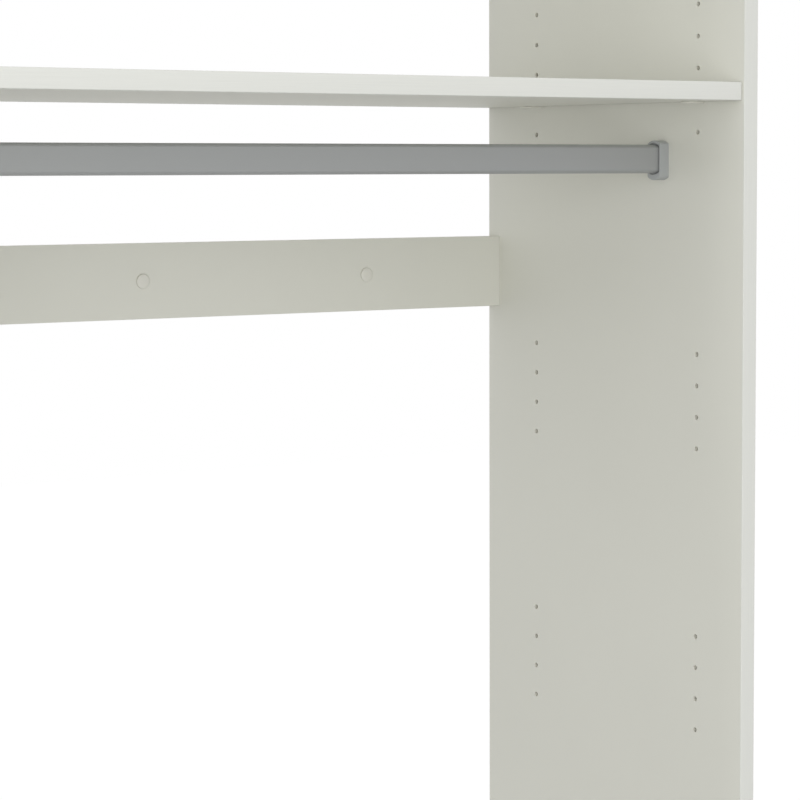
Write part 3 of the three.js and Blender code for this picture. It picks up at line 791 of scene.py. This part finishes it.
def uneven_finish(name, gloss_size, roughnesses, grain_size, grain_height, settings):
    """A finish of one colour, whose gloss varies between two roughnesses, with a fine even grain."""
    made, tree, where = start_finish(name)
    gloss = add_node(tree, "ShaderNodeTexNoise", {"Vector": where, "Scale": per_metre(gloss_size)})
    grain = add_node(tree, "ShaderNodeTexNoise", {"Vector": where, "Scale": per_metre(grain_size)})
    roughness = add_node(
        tree, "ShaderNodeMapRange", {"Value": gloss, "To Min": roughnesses[0], "To Max": roughnesses[1]},
    )
    end_finish(tree, {"Roughness": roughness, **settings}, grain, grain_height)
    return made


def melamine_on_chipboard():
    """Off-white melamine paper pressed on the board: satin, faintly pearl-grained, without a pattern.

    The pearl grain is drawn three times as coarse as the real one, so that it shows.
    """
    pearl_size, pearl_height, cloud_size = 1.4, 0.012, 240
    made, tree, where = start_finish("melamine_on_chipboard")
    cloud = add_node(tree, "ShaderNodeTexNoise", {"Vector": where, "Scale": per_metre(cloud_size)})
    drift = add_node(
        tree, "ShaderNodeValToRGB", {"Fac": cloud}, stops=((0.35, MELAMINE), (0.7, MELAMINE_DRIFT)),
    )
    pearl = add_node(tree, "ShaderNodeTexNoise", {"Vector": where, "Scale": per_metre(pearl_size)})
    sheen = add_node(tree, "ShaderNodeMapRange", {"Value": pearl, "To Min": 0.46, "To Max": 0.54})
    end_finish(tree, {"Base Color": drift, "Roughness": sheen, "IOR": 1.5}, pearl, pearl_height)
    return made


def pvc_edge_band(name, run_axis):
    """Extruded PVC strip: a little whiter and glossier than the board, with fine lines along its run."""
    line_width, line_length, line_height = 0.5, 60, 0.01
    made, tree, where = start_finish(name)
    along_run = stretched(tree, where, line_width, run_axis, line_length)
    lines = add_node(tree, "ShaderNodeTexNoise", {"Vector": along_run, "Scale": 1})
    tone = add_node(
        tree, "ShaderNodeValToRGB", {"Fac": lines}, stops=((0.2, EDGE_BAND_SHADE), (0.75, EDGE_BAND)),
    )
    end_finish(tree, {"Base Color": tone, "Roughness": 0.42, "IOR": 1.53}, lines, line_height)
    return made


def chipboard_core(name, thickness_axis):
    """Sawn particleboard: matt tan wood chips of several shades, ragged, lying flat in the board."""
    chip_length, chip_thickness, chip_height, raggedness = 5, 1, 0.12, 2.5
    made, tree, where = start_finish(name)
    flat = stretched(tree, where, chip_length, thickness_axis, chip_thickness)
    torn = add_node(tree, "ShaderNodeTexNoise", {"Vector": flat, "Scale": raggedness, "Detail": 3})
    ragged = add_node(tree, "ShaderNodeVectorMath", {0: flat, 1: torn.outputs["Color"]}, operation="ADD")
    chips = add_node(tree, "ShaderNodeTexVoronoi", {"Vector": ragged, "Scale": 1})
    tone = add_node(
        tree, "ShaderNodeValToRGB", {"Fac": chips.outputs["Color"]},
        stops=((0.1, CHIP_DARK), (0.35, CHIP_MID), (0.8, CHIP_PALE)),
    )
    settings = {"Base Color": tone, "Roughness": 0.85, "IOR": 1.45}
    end_finish(tree, settings, chips.outputs["Distance"], chip_height)
    return made


def hole_wall_with_painted_light():
    """The wall of a drilled hole: matt and finely grained, and pale, near the board's own colour. The pale
    colour is painted light that lifts the shade inside the holes.
    """
    wall_grain_size, wall_grain_height = 0.6, 0.03
    return grained_finish("hole_wall_with_painted_light", wall_grain_size, wall_grain_height, PLAIN_DETAIL, {
        "Base Color": colour(HOLE_WALL_PAINTED_LIGHT), "Roughness": 0.85, "IOR": 1.45,
    })


def metallic_powder_coat(name, hex_code):
    """Silver-grey powder coat: satin and lightly orange-peeled. Its flake makes the gloss softly uneven."""
    peel_size, peel_height, flake_size = 1.6, 0.02, 0.5
    return uneven_finish(name, flake_size, (0.36, 0.48), peel_size, peel_height, {
        "Base Color": colour(hex_code), "Specular IOR Level": 0.2,
    })


def moulded_nylon():
    """Injection-moulded nylon: off-white, softly glossy, with the mould's fine spark-eroded texture."""
    texture_size, texture_height = 0.35, 0.012
    return grained_finish("moulded_nylon", texture_size, texture_height, PLAIN_DETAIL, {
        "Base Color": colour(WHITE_NYLON), "Roughness": 0.28, "IOR": 1.53,
    })


def zinc_plated_steel():
    """Bright zinc plate on steel: pale metal with a slight blue cast and an uneven polish."""
    cloud_size, scuff_size, scuff_height = 4, 0.5, 0.006
    return uneven_finish("zinc_plated_steel", cloud_size, (0.24, 0.42), scuff_size, scuff_height, {
        "Base Color": colour(ZINC_PLATE), "Metallic": 1,
    })


def die_cast_zinc():
    """Raw die-cast zinc: dull grey metal with a fine cast grain."""
    grain_size, grain_height = 0.7, 0.03
    return grained_finish("die_cast_zinc", grain_size, grain_height, CAST_DETAIL, {
        "Base Color": colour(CAST_ZINC), "Metallic": 1, "Roughness": 0.5,
    })


def beech():
    """Turned beech: pale brown, with short darker flecks along the dowel."""
    fleck_width, fleck_length = 0.4, 5
    made, tree, where = start_finish("beech")
    along_dowel = stretched(tree, where, fleck_width, 0, fleck_length)
    flecks = add_node(tree, "ShaderNodeTexNoise", {"Vector": along_dowel, "Scale": 1})
    tone = add_node(
        tree, "ShaderNodeValToRGB", {"Fac": flecks}, stops=((0.35, BEECH_DARK), (0.6, BEECH_PALE)),
    )
    end_finish(tree, {"Base Color": tone, "Roughness": 0.62, "IOR": 1.45})
    return made


# Boards and edge bands

def pin_row_heights():
    """A tall group of pin holes around the shelf, then groups of four down to the panel's foot."""
    rows = list(range(ABOVE_SHELF_ROWS, -BELOW_SHELF_ROWS - 1, -1))
    first = -NEXT_GROUP_ROWS
    while shelf_row + (first - GROUP_ROWS + 1) * HOLE_PITCH > panel_low.z + LOWEST_ROW_RISE:
        rows += [first - row for row in range(GROUP_ROWS)]
        first -= GROUP_REPEAT_ROWS
    return [shelf_row + row * HOLE_PITCH for row in rows]


def panel_holes(side):
    """Every hole drilled in a panel's inner face."""
    face = side_sign[side] * inner_face
    into = OUTWARD[side]
    dowel_hole = DOWEL_RADIUS + DOWEL_CLEARANCE
    pilot_hole = COLLAR_SCREW_RADIUS + COLLAR_SCREW_CLEARANCE
    holes = []
    for place in column_places.values():
        for height in pin_row_heights():
            holes.append(drill((face, place, height), into, HOLE_RADIUS, HOLE_DEPTH, HOLE_LIP))
    for height in rail_heights.values():
        bolt = (face, -half_board, height + RAIL_CAM_RISE)
        peg = (face, -half_board, height - RAIL_DOWEL_DROP)
        holes.append(drill(bolt, into, HOLE_RADIUS, HOLE_DEPTH, HOLE_LIP))
        holes.append(drill(peg, into, dowel_hole, HOLE_DEPTH, HOLE_LIP))
    for place in top_cam_places.values():
        holes.append(drill((face, place, top_shelf_height), into, HOLE_RADIUS, HOLE_DEPTH, HOLE_LIP))
    for rise in COLLAR_SCREW_RISES.values():
        holes.append(drill((face, rod_middle.y, rod_middle.z + rise), into, pilot_hole, HOLE_DEPTH))
    return holes


def add_panel(side):
    """A side panel: laminated faces, drilled inner face, and a sawn edge to the wall."""
    add_board(f"{side}_drilled_panel", f"{side}_panel", panel_holes(side), [(1, 1)], "panel_core")


def cam_fitting_holes(side, y, height, cam_face, cam_into):
    """The two holes of a cam fitting: the cam's, from a face, and the bolt's, from the board's end."""
    cam_x = side_sign[side] * (inner_face - CAM_END_DISTANCE)
    end_x = side_sign[side] * inner_face
    cam_hole = CAM_RADIUS + CAM_CLEARANCE
    return [
        drill((cam_x, *cam_face), cam_into, cam_hole, board_thickness - CAM_FLOOR, HOLE_LIP),
        drill((end_x, y, height), INWARD[side], BOLT_BORE_RADIUS, CAM_END_DISTANCE),
    ]


def add_top_shelf():
    """The fixed shelf that ties the panels together, with its cams let into its top."""
    top = span("top_shelf")[1].z
    holes = []
    for side in SIDES:
        for place in top_cam_places.values():
            holes += cam_fitting_holes(side, place, top_shelf_height, (place, top), DOWNWARD)
    add_board("top_shelf_board", "top_shelf", holes, [(1, 1), (0, 1), (0, -1)], "shelf_core")


def add_adjustable_shelf():
    """The loose shelf, sealed at its ends and sawn at its rear edge."""
    add_board("adjustable_shelf_board", "adjustable_shelf", [], [(1, 1)], "shelf_core")


def add_rail(rail):
    """A wall rail: screwed to the wall, and held to the panels by a cam bolt and a dowel at each end."""
    node = f"{rail}_wall_rail"
    low, high = span(node)
    height = rail_heights[rail]
    dowel_hole = DOWEL_RADIUS + DOWEL_CLEARANCE
    dowel_depth = DOWEL_LENGTH - HOLE_DEPTH + 2 * DOWEL_CLEARANCE
    holes = []
    for x in wall_screw_places.values():
        holes.append(drill(
            (x, low.y, height), WALLWARD, WALL_SCREW_RADIUS + WALL_SCREW_CLEARANCE,
            board_thickness + CUT_OVERRUN, HOLE_LIP,
        ))
    for side in SIDES:
        cam_height = height + RAIL_CAM_RISE
        peg = (side_sign[side] * inner_face, -half_board, height - RAIL_DOWEL_DROP)
        holes += cam_fitting_holes(side, -half_board, cam_height, (high.y, cam_height), FORWARD)
        holes.append(drill(peg, INWARD[side], dowel_hole, dowel_depth))
    add_board(f"{node}_board", node, holes, [(0, 1), (0, -1)], "rail_core")


def add_edge_band(node, run_axis, finish):
    """A glued edge strip. It runs along X or Z, and its two front arrises are rounded."""
    low, high = span(node)
    across_axis = 2 if run_axis == 0 else 0
    outline = filleted([
        (low[across_axis], high.y),
        (low[across_axis], low.y, BAND_ROUND),
        (high[across_axis], low.y, BAND_ROUND),
        (high[across_axis], high.y),
    ])
    rings = []
    for run in (low[run_axis], high[run_axis]):
        ring = []
        for across, y in outline:
            point = [across, y, across]
            point[run_axis] = run
            ring.append(point)
        rings.append(ring)
    add_solid(f"{node}_strip", loft(rings), node, finish)


# Shelf supports

def paddle_outline(inset):
    """The D of a support's paddle, drawn in from its edge, as points of (X, Y)."""
    half = PADDLE_WIDTH / 2
    points = [(-inset, half - inset)]
    for step in range(PADDLE_ARC_STEPS + 1):
        angle = QUARTER_TURN + 2 * QUARTER_TURN * step / PADDLE_ARC_STEPS
        reach = half - inset
        points.append((half - PADDLE_LENGTH + reach * math.cos(angle), reach * math.sin(angle)))
    points.append((-inset, inset - half))
    return points


def support_mesh():
    """A push-in support in a fitting's frame: a pin with crush ribs, a flange, and a paddle."""
    top = -PIN_ABOVE_PADDLE
    bottom = top - PADDLE_THICKNESS
    levels = [(bottom + rise, inset) for rise, inset in quarter_round(PADDLE_ROUND)]
    levels += [(top - rise, inset) for rise, inset in reversed(quarter_round(PADDLE_ROUND))]
    paddle = loft([[(x, y, height) for x, y in paddle_outline(inset)] for height, inset in levels])
    pin = turned([
        (-PIN_FLANGE_THICKNESS / 2, 0),
        (-PIN_FLANGE_THICKNESS / 2, PIN_RADIUS),
        (PIN_LENGTH - PIN_TIP, PIN_RADIUS),
        (PIN_LENGTH, PIN_RADIUS - PIN_TIP / 2),
        (PIN_LENGTH, 0),
    ])
    pin = grown(pin, fluting, {
        "Count": PIN_RIBS, "Depth share": PIN_RIB_HEIGHT / PIN_RADIUS, "Finish": finishes["nylon"],
    })
    flange = turned(filleted([
        (-PIN_FLANGE_THICKNESS, 0),
        (-PIN_FLANGE_THICKNESS, PIN_FLANGE_RADIUS, PIN_FLANGE_ROUND),
        (0, PIN_FLANGE_RADIUS),
        (0, 0),
    ]))
    return combined(combined(flange, pin, "UNION"), paddle, "UNION")


def add_supports():
    """Four supports, pushed into the pin holes under the shelf."""
    shape = support_mesh()
    for side in SIDES:
        for column, y in column_places.items():
            mesh = moved(shape, fitting_place(side, y, shelf_row))
            node = f"shelf_support_{side}_{column}"
            add_solid(f"{node}_paddle", mesh, node, "nylon")


# Rod and collars

def add_rod():
    """The closet rod: one tube with flat sides and arched edges, its cut ends deburred."""
    outside = quarter_round(ROD_END_ROUND)
    inside = [(back, ROD_WALL - inset) for back, inset in outside]
    rings = []
    for end_x, inward, steps in (
        (rod_low.x, 1, outside),
        (rod_high.x, -1, outside[::-1] + inside),
        (rod_low.x, 1, inside[::-1]),
    ):
        for back, inset in steps:
            section = arched_oval(ROD_WIDTH, ROD_HEIGHT, ROD_ARCH_RISE, ROD_CORNER, inset)
            rings.append(across_x(end_x + inward * back, section))
    mesh = moved(loft(rings, closed=True), Matrix.Translation((0, rod_middle.y, rod_middle.z)))
    add_solid("closet_rod_tube", mesh, "closet_rod", "rod_coat")


def collar_mesh():
    """A closed cup in a fitting's frame: a mouth that stands clear of the rod, and a saddle behind it."""
    low, high = span("right_rod_collar")
    drop = rod_middle.z - (low.z + high.z) / 2
    length = high.x - low.x
    outer_size = (high.y - low.y, high.z - low.z, COLLAR_ARCH_RISE, COLLAR_CORNER)
    inner_sizes = []
    for clearance in (COLLAR_MOUTH_CLEARANCE, COLLAR_SEAT_CLEARANCE):
        inner_sizes.append((
            ROD_WIDTH + 2 * clearance, ROD_HEIGHT + 2 * clearance, ROD_ARCH_RISE, ROD_CORNER + clearance,
        ))
    mouth_size, seat_size = inner_sizes
    rings = [across_x(0, arched_oval(*outer_size), drop)]
    for back, inset in reversed(quarter_round(COLLAR_ROUND)):
        rings.append(across_x(back - length, arched_oval(*outer_size, inset), drop))
    for back, inset in quarter_round(COLLAR_MOUTH_ROUND):
        rings.append(across_x(back - length, arched_oval(*mouth_size, -inset)))
    rings.append(across_x(COLLAR_MOUTH_DEPTH - length, arched_oval(*mouth_size)))
    rings.append(across_x(COLLAR_MOUTH_DEPTH - length, arched_oval(*seat_size)))
    rings.append(across_x(-COLLAR_BASE, arched_oval(*seat_size)))
    holes = []
    for rise in COLLAR_SCREW_RISES.values():
        holes.append(drill(
            (-COLLAR_BASE, 0, rise), RIGHTWARD, COLLAR_SCREW_RADIUS + COLLAR_SCREW_CLEARANCE,
            COLLAR_BASE + CUT_OVERRUN, COLLAR_SCREW_HEAD_RADIUS - COLLAR_SCREW_RADIUS,
        ))
    return drilled(loft(rings), holes, finishes["collar_coat"])


def collar_screw_mesh():
    """A countersunk screw in a fitting's frame, from its head in the collar to its point in the panel."""
    face = COLLAR_SCREW_CLEARANCE - COLLAR_BASE
    neck = face + COLLAR_SCREW_HEAD_HEIGHT
    head = [
        (face, 0),
        (face, COLLAR_SCREW_HEAD_RADIUS, COLLAR_SCREW_HEAD_ROUND),
        (neck, COLLAR_SCREW_RADIUS),
        (neck, 0),
    ]
    screw = threaded(head, COLLAR_SCREW_BITE, COLLAR_SCREW_THREAD)
    return cross_headed(screw, face, COLLAR_SCREW_CROSS)


def add_collars():
    """A collar at each end of the rod, held to the panel by two screws inside the cup."""
    cup = collar_mesh()
    screw = collar_screw_mesh()
    for side in SIDES:
        mesh = moved(cup, fitting_place(side, rod_middle.y, rod_middle.z))
        add_solid(f"{side}_collar_cup", mesh, f"{side}_rod_collar", "collar_coat")
        for name, rise in COLLAR_SCREW_RISES.items():
            mesh = moved(screw, fitting_place(side, rod_middle.y, rod_middle.z + rise))
            node = f"{side}_collar_screw_{name}"
            add_solid(f"{node}_threaded", mesh, node, "plated_steel")


# Wall screws, washers and caps

def wall_screw_mesh():
    """A pan-head screw in the rail's frame: X = 0 is the rail's face, and X runs into the wall."""
    seat = -WASHER_THICKNESS
    face = seat - SCREW_HEAD_HEIGHT
    head = [
        (face, 0),
        (face, SCREW_HEAD_RADIUS, SCREW_HEAD_ROUND),
        (seat, SCREW_HEAD_RADIUS),
        (seat, 0),
    ]
    screw = threaded(head, face + WALL_SCREW_LENGTH, WALL_SCREW_THREAD)
    return cross_headed(screw, face, WALL_SCREW_CROSS)


def washer_mesh():
    """A flat nylon ring under the screw's head, with the rounded rim that its cap clips over."""
    bore = WALL_SCREW_RADIUS + WALL_SCREW_CLEARANCE
    return turned(filleted([
        (0, bore),
        (0, WASHER_RADIUS),
        (-WASHER_THICKNESS, WASHER_RADIUS, WASHER_ROUND),
        (-WASHER_THICKNESS, bore),
    ]), closed=True)


def crown(radius, height, undercut):
    """A cap's undercut rim and its soft dome, from the rim to the middle, as points of (X, radius)."""
    points = [(0, radius - undercut), (-undercut, radius)]
    for step in range(CAP_CROWN_STEPS + 1):
        angle = QUARTER_TURN * step / CAP_CROWN_STEPS
        reach = radius * max(math.cos(angle), 0) ** CAP_CROWN_POWER
        points.append((-CAP_SKIRT - (height - CAP_SKIRT) * math.sin(angle) ** CAP_CROWN_POWER, reach))
    points[-1] = (-height, 0)
    return points


def cap_mesh():
    """A clip-on cap: a thin domed shell, open towards the rail."""
    outside = crown(CAP_RADIUS, CAP_HEIGHT, CAP_UNDERCUT)
    inside = crown(CAP_RADIUS - CAP_WALL, CAP_HEIGHT - CAP_WALL, CAP_BEAD)
    return turned(outside + inside[::-1], closed=True)


def add_rail_fixings():
    """Three wall screws in each rail, each on its washer and under its cap."""
    shapes = {
        "wall_screw": (wall_screw_mesh(), "threaded", "plated_steel"),
        "washer": (washer_mesh(), "ring", "nylon"),
        "screw_cap": (cap_mesh(), "dome", "nylon"),
    }
    for rail, height in rail_heights.items():
        for name, x in wall_screw_places.items():
            place = placement((x, -board_thickness, height), WALLWARD, UPWARD)
            for kind, (shape, form, finish) in shapes.items():
                node = f"{rail}_rail_{kind}_{name}"
                add_solid(f"{node}_{form}", moved(shape, place), node, finish)


# Cam fittings and dowels

def cam_mesh():
    """A cast cam in a fitting's frame: a rimmed drum, a driver's cross on top, and a side mouth."""
    face = half_board - CAM_CLEARANCE
    foot = CAM_FLOOR + CAM_CLEARANCE - half_board
    body_radius = CAM_RADIUS - CAM_RIM_STEP
    drum = turned(filleted([
        (foot, 0),
        (foot, body_radius, CAM_ROUND),
        (face - CAM_RIM_THICKNESS, body_radius),
        (face - CAM_RIM_THICKNESS, CAM_RADIUS),
        (face, CAM_RADIUS, CAM_ROUND),
        (face, 0),
    ]))
    recess = cross_recess(**CAM_CROSS)
    mouth = turned([
        (-BOLT_HEAD_LENGTH, 0),
        (-BOLT_HEAD_LENGTH, BOLT_HEAD_RADIUS + BOLT_CLEARANCE),
        (CAM_RADIUS + CUT_OVERRUN, BOLT_HEAD_RADIUS + BOLT_CLEARANCE),
        (CAM_RADIUS + CUT_OVERRUN, 0),
    ])
    drum = moved(drum, placement((0, 0, 0), UPWARD, LEFTWARD))
    drum = combined(drum, moved(recess, placement((0, 0, face), DOWNWARD, RIGHTWARD)), "DIFFERENCE")
    return moved(combined(drum, mouth, "DIFFERENCE"), along_x(-CAM_END_DISTANCE))


def cam_bolt_mesh():
    """The bolt that screws into a panel and hooks into a cam, in a fitting's frame."""
    head = -CAM_END_DISTANCE - BOLT_HEAD_LENGTH + BOLT_CLEARANCE
    neck = head + BOLT_HEAD_LENGTH
    shank = neck + BOLT_NECK_LENGTH
    flange = -BOLT_CLEARANCE - BOLT_FLANGE_THICKNESS
    flange_radius = BOLT_BORE_RADIUS - BOLT_CLEARANCE
    body = [
        (head, 0),
        (head, BOLT_HEAD_RADIUS, BOLT_ROUND),
        (neck, BOLT_HEAD_RADIUS),
        (neck, BOLT_NECK_RADIUS),
        (shank, BOLT_NECK_RADIUS),
        (shank, BOLT_SHANK_RADIUS),
        (flange, BOLT_SHANK_RADIUS),
        (flange, flange_radius, BOLT_ROUND),
        (-BOLT_CLEARANCE, flange_radius, BOLT_ROUND),
        (-BOLT_CLEARANCE, 0),
    ]
    return threaded(body, BOLT_ANCHOR_LENGTH, BOLT_ANCHOR_THREAD)


def add_cam_fittings():
    """A cam and its bolt at each end of each rail, and at each corner of the top shelf."""
    cam = cam_mesh()
    bolt = cam_bolt_mesh()
    for side in SIDES:
        x = side_sign[side] * inner_face
        places = {}
        for corner, y in top_cam_places.items():
            at = (x, y, top_shelf_height)
            places[("top_shelf", f"{side}_{corner}")] = placement(at, OUTWARD[side], UPWARD)
        for rail, height in rail_heights.items():
            at = (x, -half_board, height + RAIL_CAM_RISE)
            places[(f"{rail}_rail", side)] = placement(at, OUTWARD[side], WALLWARD)
        for (carrier, end), place in places.items():
            cam_node = f"{carrier}_cam_{end}"
            bolt_node = f"{carrier}_cam_bolt_{end}"
            add_solid(f"{cam_node}_drum", moved(cam, place), cam_node, "cast_zinc")
            add_solid(f"{bolt_node}_threaded", moved(bolt, place), bolt_node, "plated_steel")


def add_dowels():
    """A fluted dowel at each end of each rail."""
    half = DOWEL_LENGTH / 2
    peg = turned([
        (-half, 0),
        (-half, DOWEL_RADIUS - DOWEL_CHAMFER),
        (DOWEL_CHAMFER - half, DOWEL_RADIUS),
        (half - DOWEL_CHAMFER, DOWEL_RADIUS),
        (half, DOWEL_RADIUS - DOWEL_CHAMFER),
        (half, 0),
    ], sides=DOWEL_FLUTES * FLUTE_SIDES)
    shape = grown(peg, fluting, {
        "Count": DOWEL_FLUTES, "Depth share": DOWEL_FLUTE_DEPTH / DOWEL_RADIUS, "Finish": finishes["beech"],
    })
    for rail, height in rail_heights.items():
        for side in SIDES:
            node = f"{rail}_rail_dowel_{side}"
            middle = Matrix.Translation((middle_of(node).x, -half_board, height - RAIL_DOWEL_DROP))
            add_solid(f"{node}_fluted", moved(shape, middle), node, "beech")


# Studio

def set_camera():
    """The photograph's view, with only the small shift that its framing needs."""
    lens = bpy.data.cameras.new("photo_camera")
    lens.lens = CAMERA_LENS
    lens.sensor_width = CAMERA_SENSOR_WIDTH
    lens.shift_y = -CAMERA_DROP_SHARE
    lens.clip_end = CAMERA_FAR_CLIP * METRES_PER_MM
    camera = add_object("photo_camera", lens)
    camera.matrix_world = (
        Matrix.Translation(Vector(CAMERA_PLACE) * METRES_PER_MM)
        @ Matrix.Rotation(-math.radians(CAMERA_YAW_DEGREES), 4, "Z")
        @ Matrix.Rotation(QUARTER_TURN - math.radians(CAMERA_PITCH_DEGREES), 4, "X")
        @ Matrix.Rotation(math.radians(CAMERA_ROLL_DEGREES), 4, "Z")
    )
    bpy.context.scene.camera = camera


def sees_background(tree):
    """1 for rays from the camera, and for rays that gloss or glass sends back to the background."""
    path = add_node(tree, "ShaderNodeLightPath")
    seen = path.outputs["Is Camera Ray"]
    for ray in ("Is Glossy Ray", "Is Transmission Ray"):
        seen = add_node(tree, "ShaderNodeMath", {0: seen, 1: path.outputs[ray]}, operation="MAXIMUM")
    return seen


def light_sky():
    """A soft sky, a little brighter in front of the bay than behind it. It shows as plain white."""
    world = bpy.data.worlds.new("studio_sky")
    bpy.context.scene.world = world
    tree = emptied_tree(world)
    way = add_node(tree, "ShaderNodeTexCoord").outputs["Generated"]
    ahead = add_node(tree, "ShaderNodeVectorMath", {0: way, 1: FORWARD}, operation="DOT_PRODUCT")
    level = add_node(tree, "ShaderNodeMapRange", {
        "Value": ahead.outputs["Value"], "From Min": -1, "To Min": SKY_BEHIND, "To Max": SKY_AHEAD,
    })
    light = add_node(tree, "ShaderNodeBackground", {"Color": colour(PURE_WHITE), "Strength": level})
    backdrop = add_node(tree, "ShaderNodeBackground", {"Color": colour(PURE_WHITE), "Strength": 1})
    sky = add_node(tree, "ShaderNodeMixShader", {0: sees_background(tree), 1: light, 2: backdrop})
    add_node(tree, "ShaderNodeOutputWorld", {"Surface": sky})


def add_softbox():
    """One large soft lamp beside the camera, a little below it."""
    lamp = bpy.data.lights.new("softbox", "AREA")
    lamp.shape = "DISK"
    lamp.size = SOFTBOX_SIZE * METRES_PER_MM
    lamp.energy = SOFTBOX_POWER
    softbox = add_object("softbox", lamp)
    place = Vector(SOFTBOX_PLACE)
    aim = (place - Vector(SOFTBOX_AIM)).to_track_quat("Z", "Y").to_matrix().to_4x4()
    softbox.matrix_world = Matrix.Translation(place * METRES_PER_MM) @ aim


def studio_floor_paint():
    """Matt pale grey paint, topped up for the camera so that it shows white and keeps its shadow."""
    made = bpy.data.materials.new("studio_floor_paint")
    tree = emptied_tree(made)
    seen = sees_background(tree)
    paint = add_node(tree, "ShaderNodeBsdfDiffuse", {"Color": colour(FLOOR_PAINT)})
    top_up = add_node(tree, "ShaderNodeMath", {0: seen, 1: FLOOR_TOP_UP}, operation="MULTIPLY")
    glow = add_node(tree, "ShaderNodeEmission", {"Strength": top_up})
    both = add_node(tree, "ShaderNodeAddShader", {0: paint, 1: glow})
    add_node(tree, "ShaderNodeOutputMaterial", {"Surface": both})
    return made


def add_floor():
    """A plain floor below the panels, which hang clear of it."""
    height = panel_low.z - FLOOR_GAP
    corners = []
    for x, y in ((-1, -1), (1, -1), (1, 1), (-1, 1)):
        corners.append(Vector((x * FLOOR_REACH, y * FLOOR_REACH, height)) * METRES_PER_MM)
    mesh = bpy.data.meshes.new("studio_floor")
    mesh.from_pydata(corners, [], [(0, 1, 2, 3)])
    mesh.materials.append(studio_floor_paint())
    add_object("studio_floor", mesh)


# The bay, put together

drilling = drilling_tree()
threading = threading_tree()
fluting = fluting_tree()
finishes = {
    "melamine": melamine_on_chipboard(),
    "panel_core": chipboard_core("sawn_core_of_panels", 0),
    "rail_core": chipboard_core("sawn_core_of_rails", 1),
    "shelf_core": chipboard_core("sawn_core_of_shelves", 2),
    "drilled": hole_wall_with_painted_light(),
    "level_band": pvc_edge_band("pvc_edge_band_level", 0),
    "upright_band": pvc_edge_band("pvc_edge_band_upright", 2),
    "rod_coat": metallic_powder_coat("powder_coat_on_rod", ROD_GREY),
    "collar_coat": metallic_powder_coat("powder_coat_on_collars", COLLAR_GREY),
    "nylon": moulded_nylon(),
    "plated_steel": zinc_plated_steel(),
    "cast_zinc": die_cast_zinc(),
    "beech": beech(),
}

set_camera()
light_sky()
add_softbox()
add_floor()
for side in SIDES:
    add_panel(side)
    add_edge_band(f"{side}_panel_edge_band", 2, "upright_band")
for shelf in ("top_shelf", "adjustable_shelf"):
    add_edge_band(f"{shelf}_edge_band", 0, "level_band")
for rail in RAILS:
    add_rail(rail)
add_top_shelf()
add_adjustable_shelf()
add_supports()
add_rod()
add_collars()
add_rail_fixings()
add_cam_fittings()
add_dowels()

bpy.context.scene.view_settings.view_transform = "Standard"
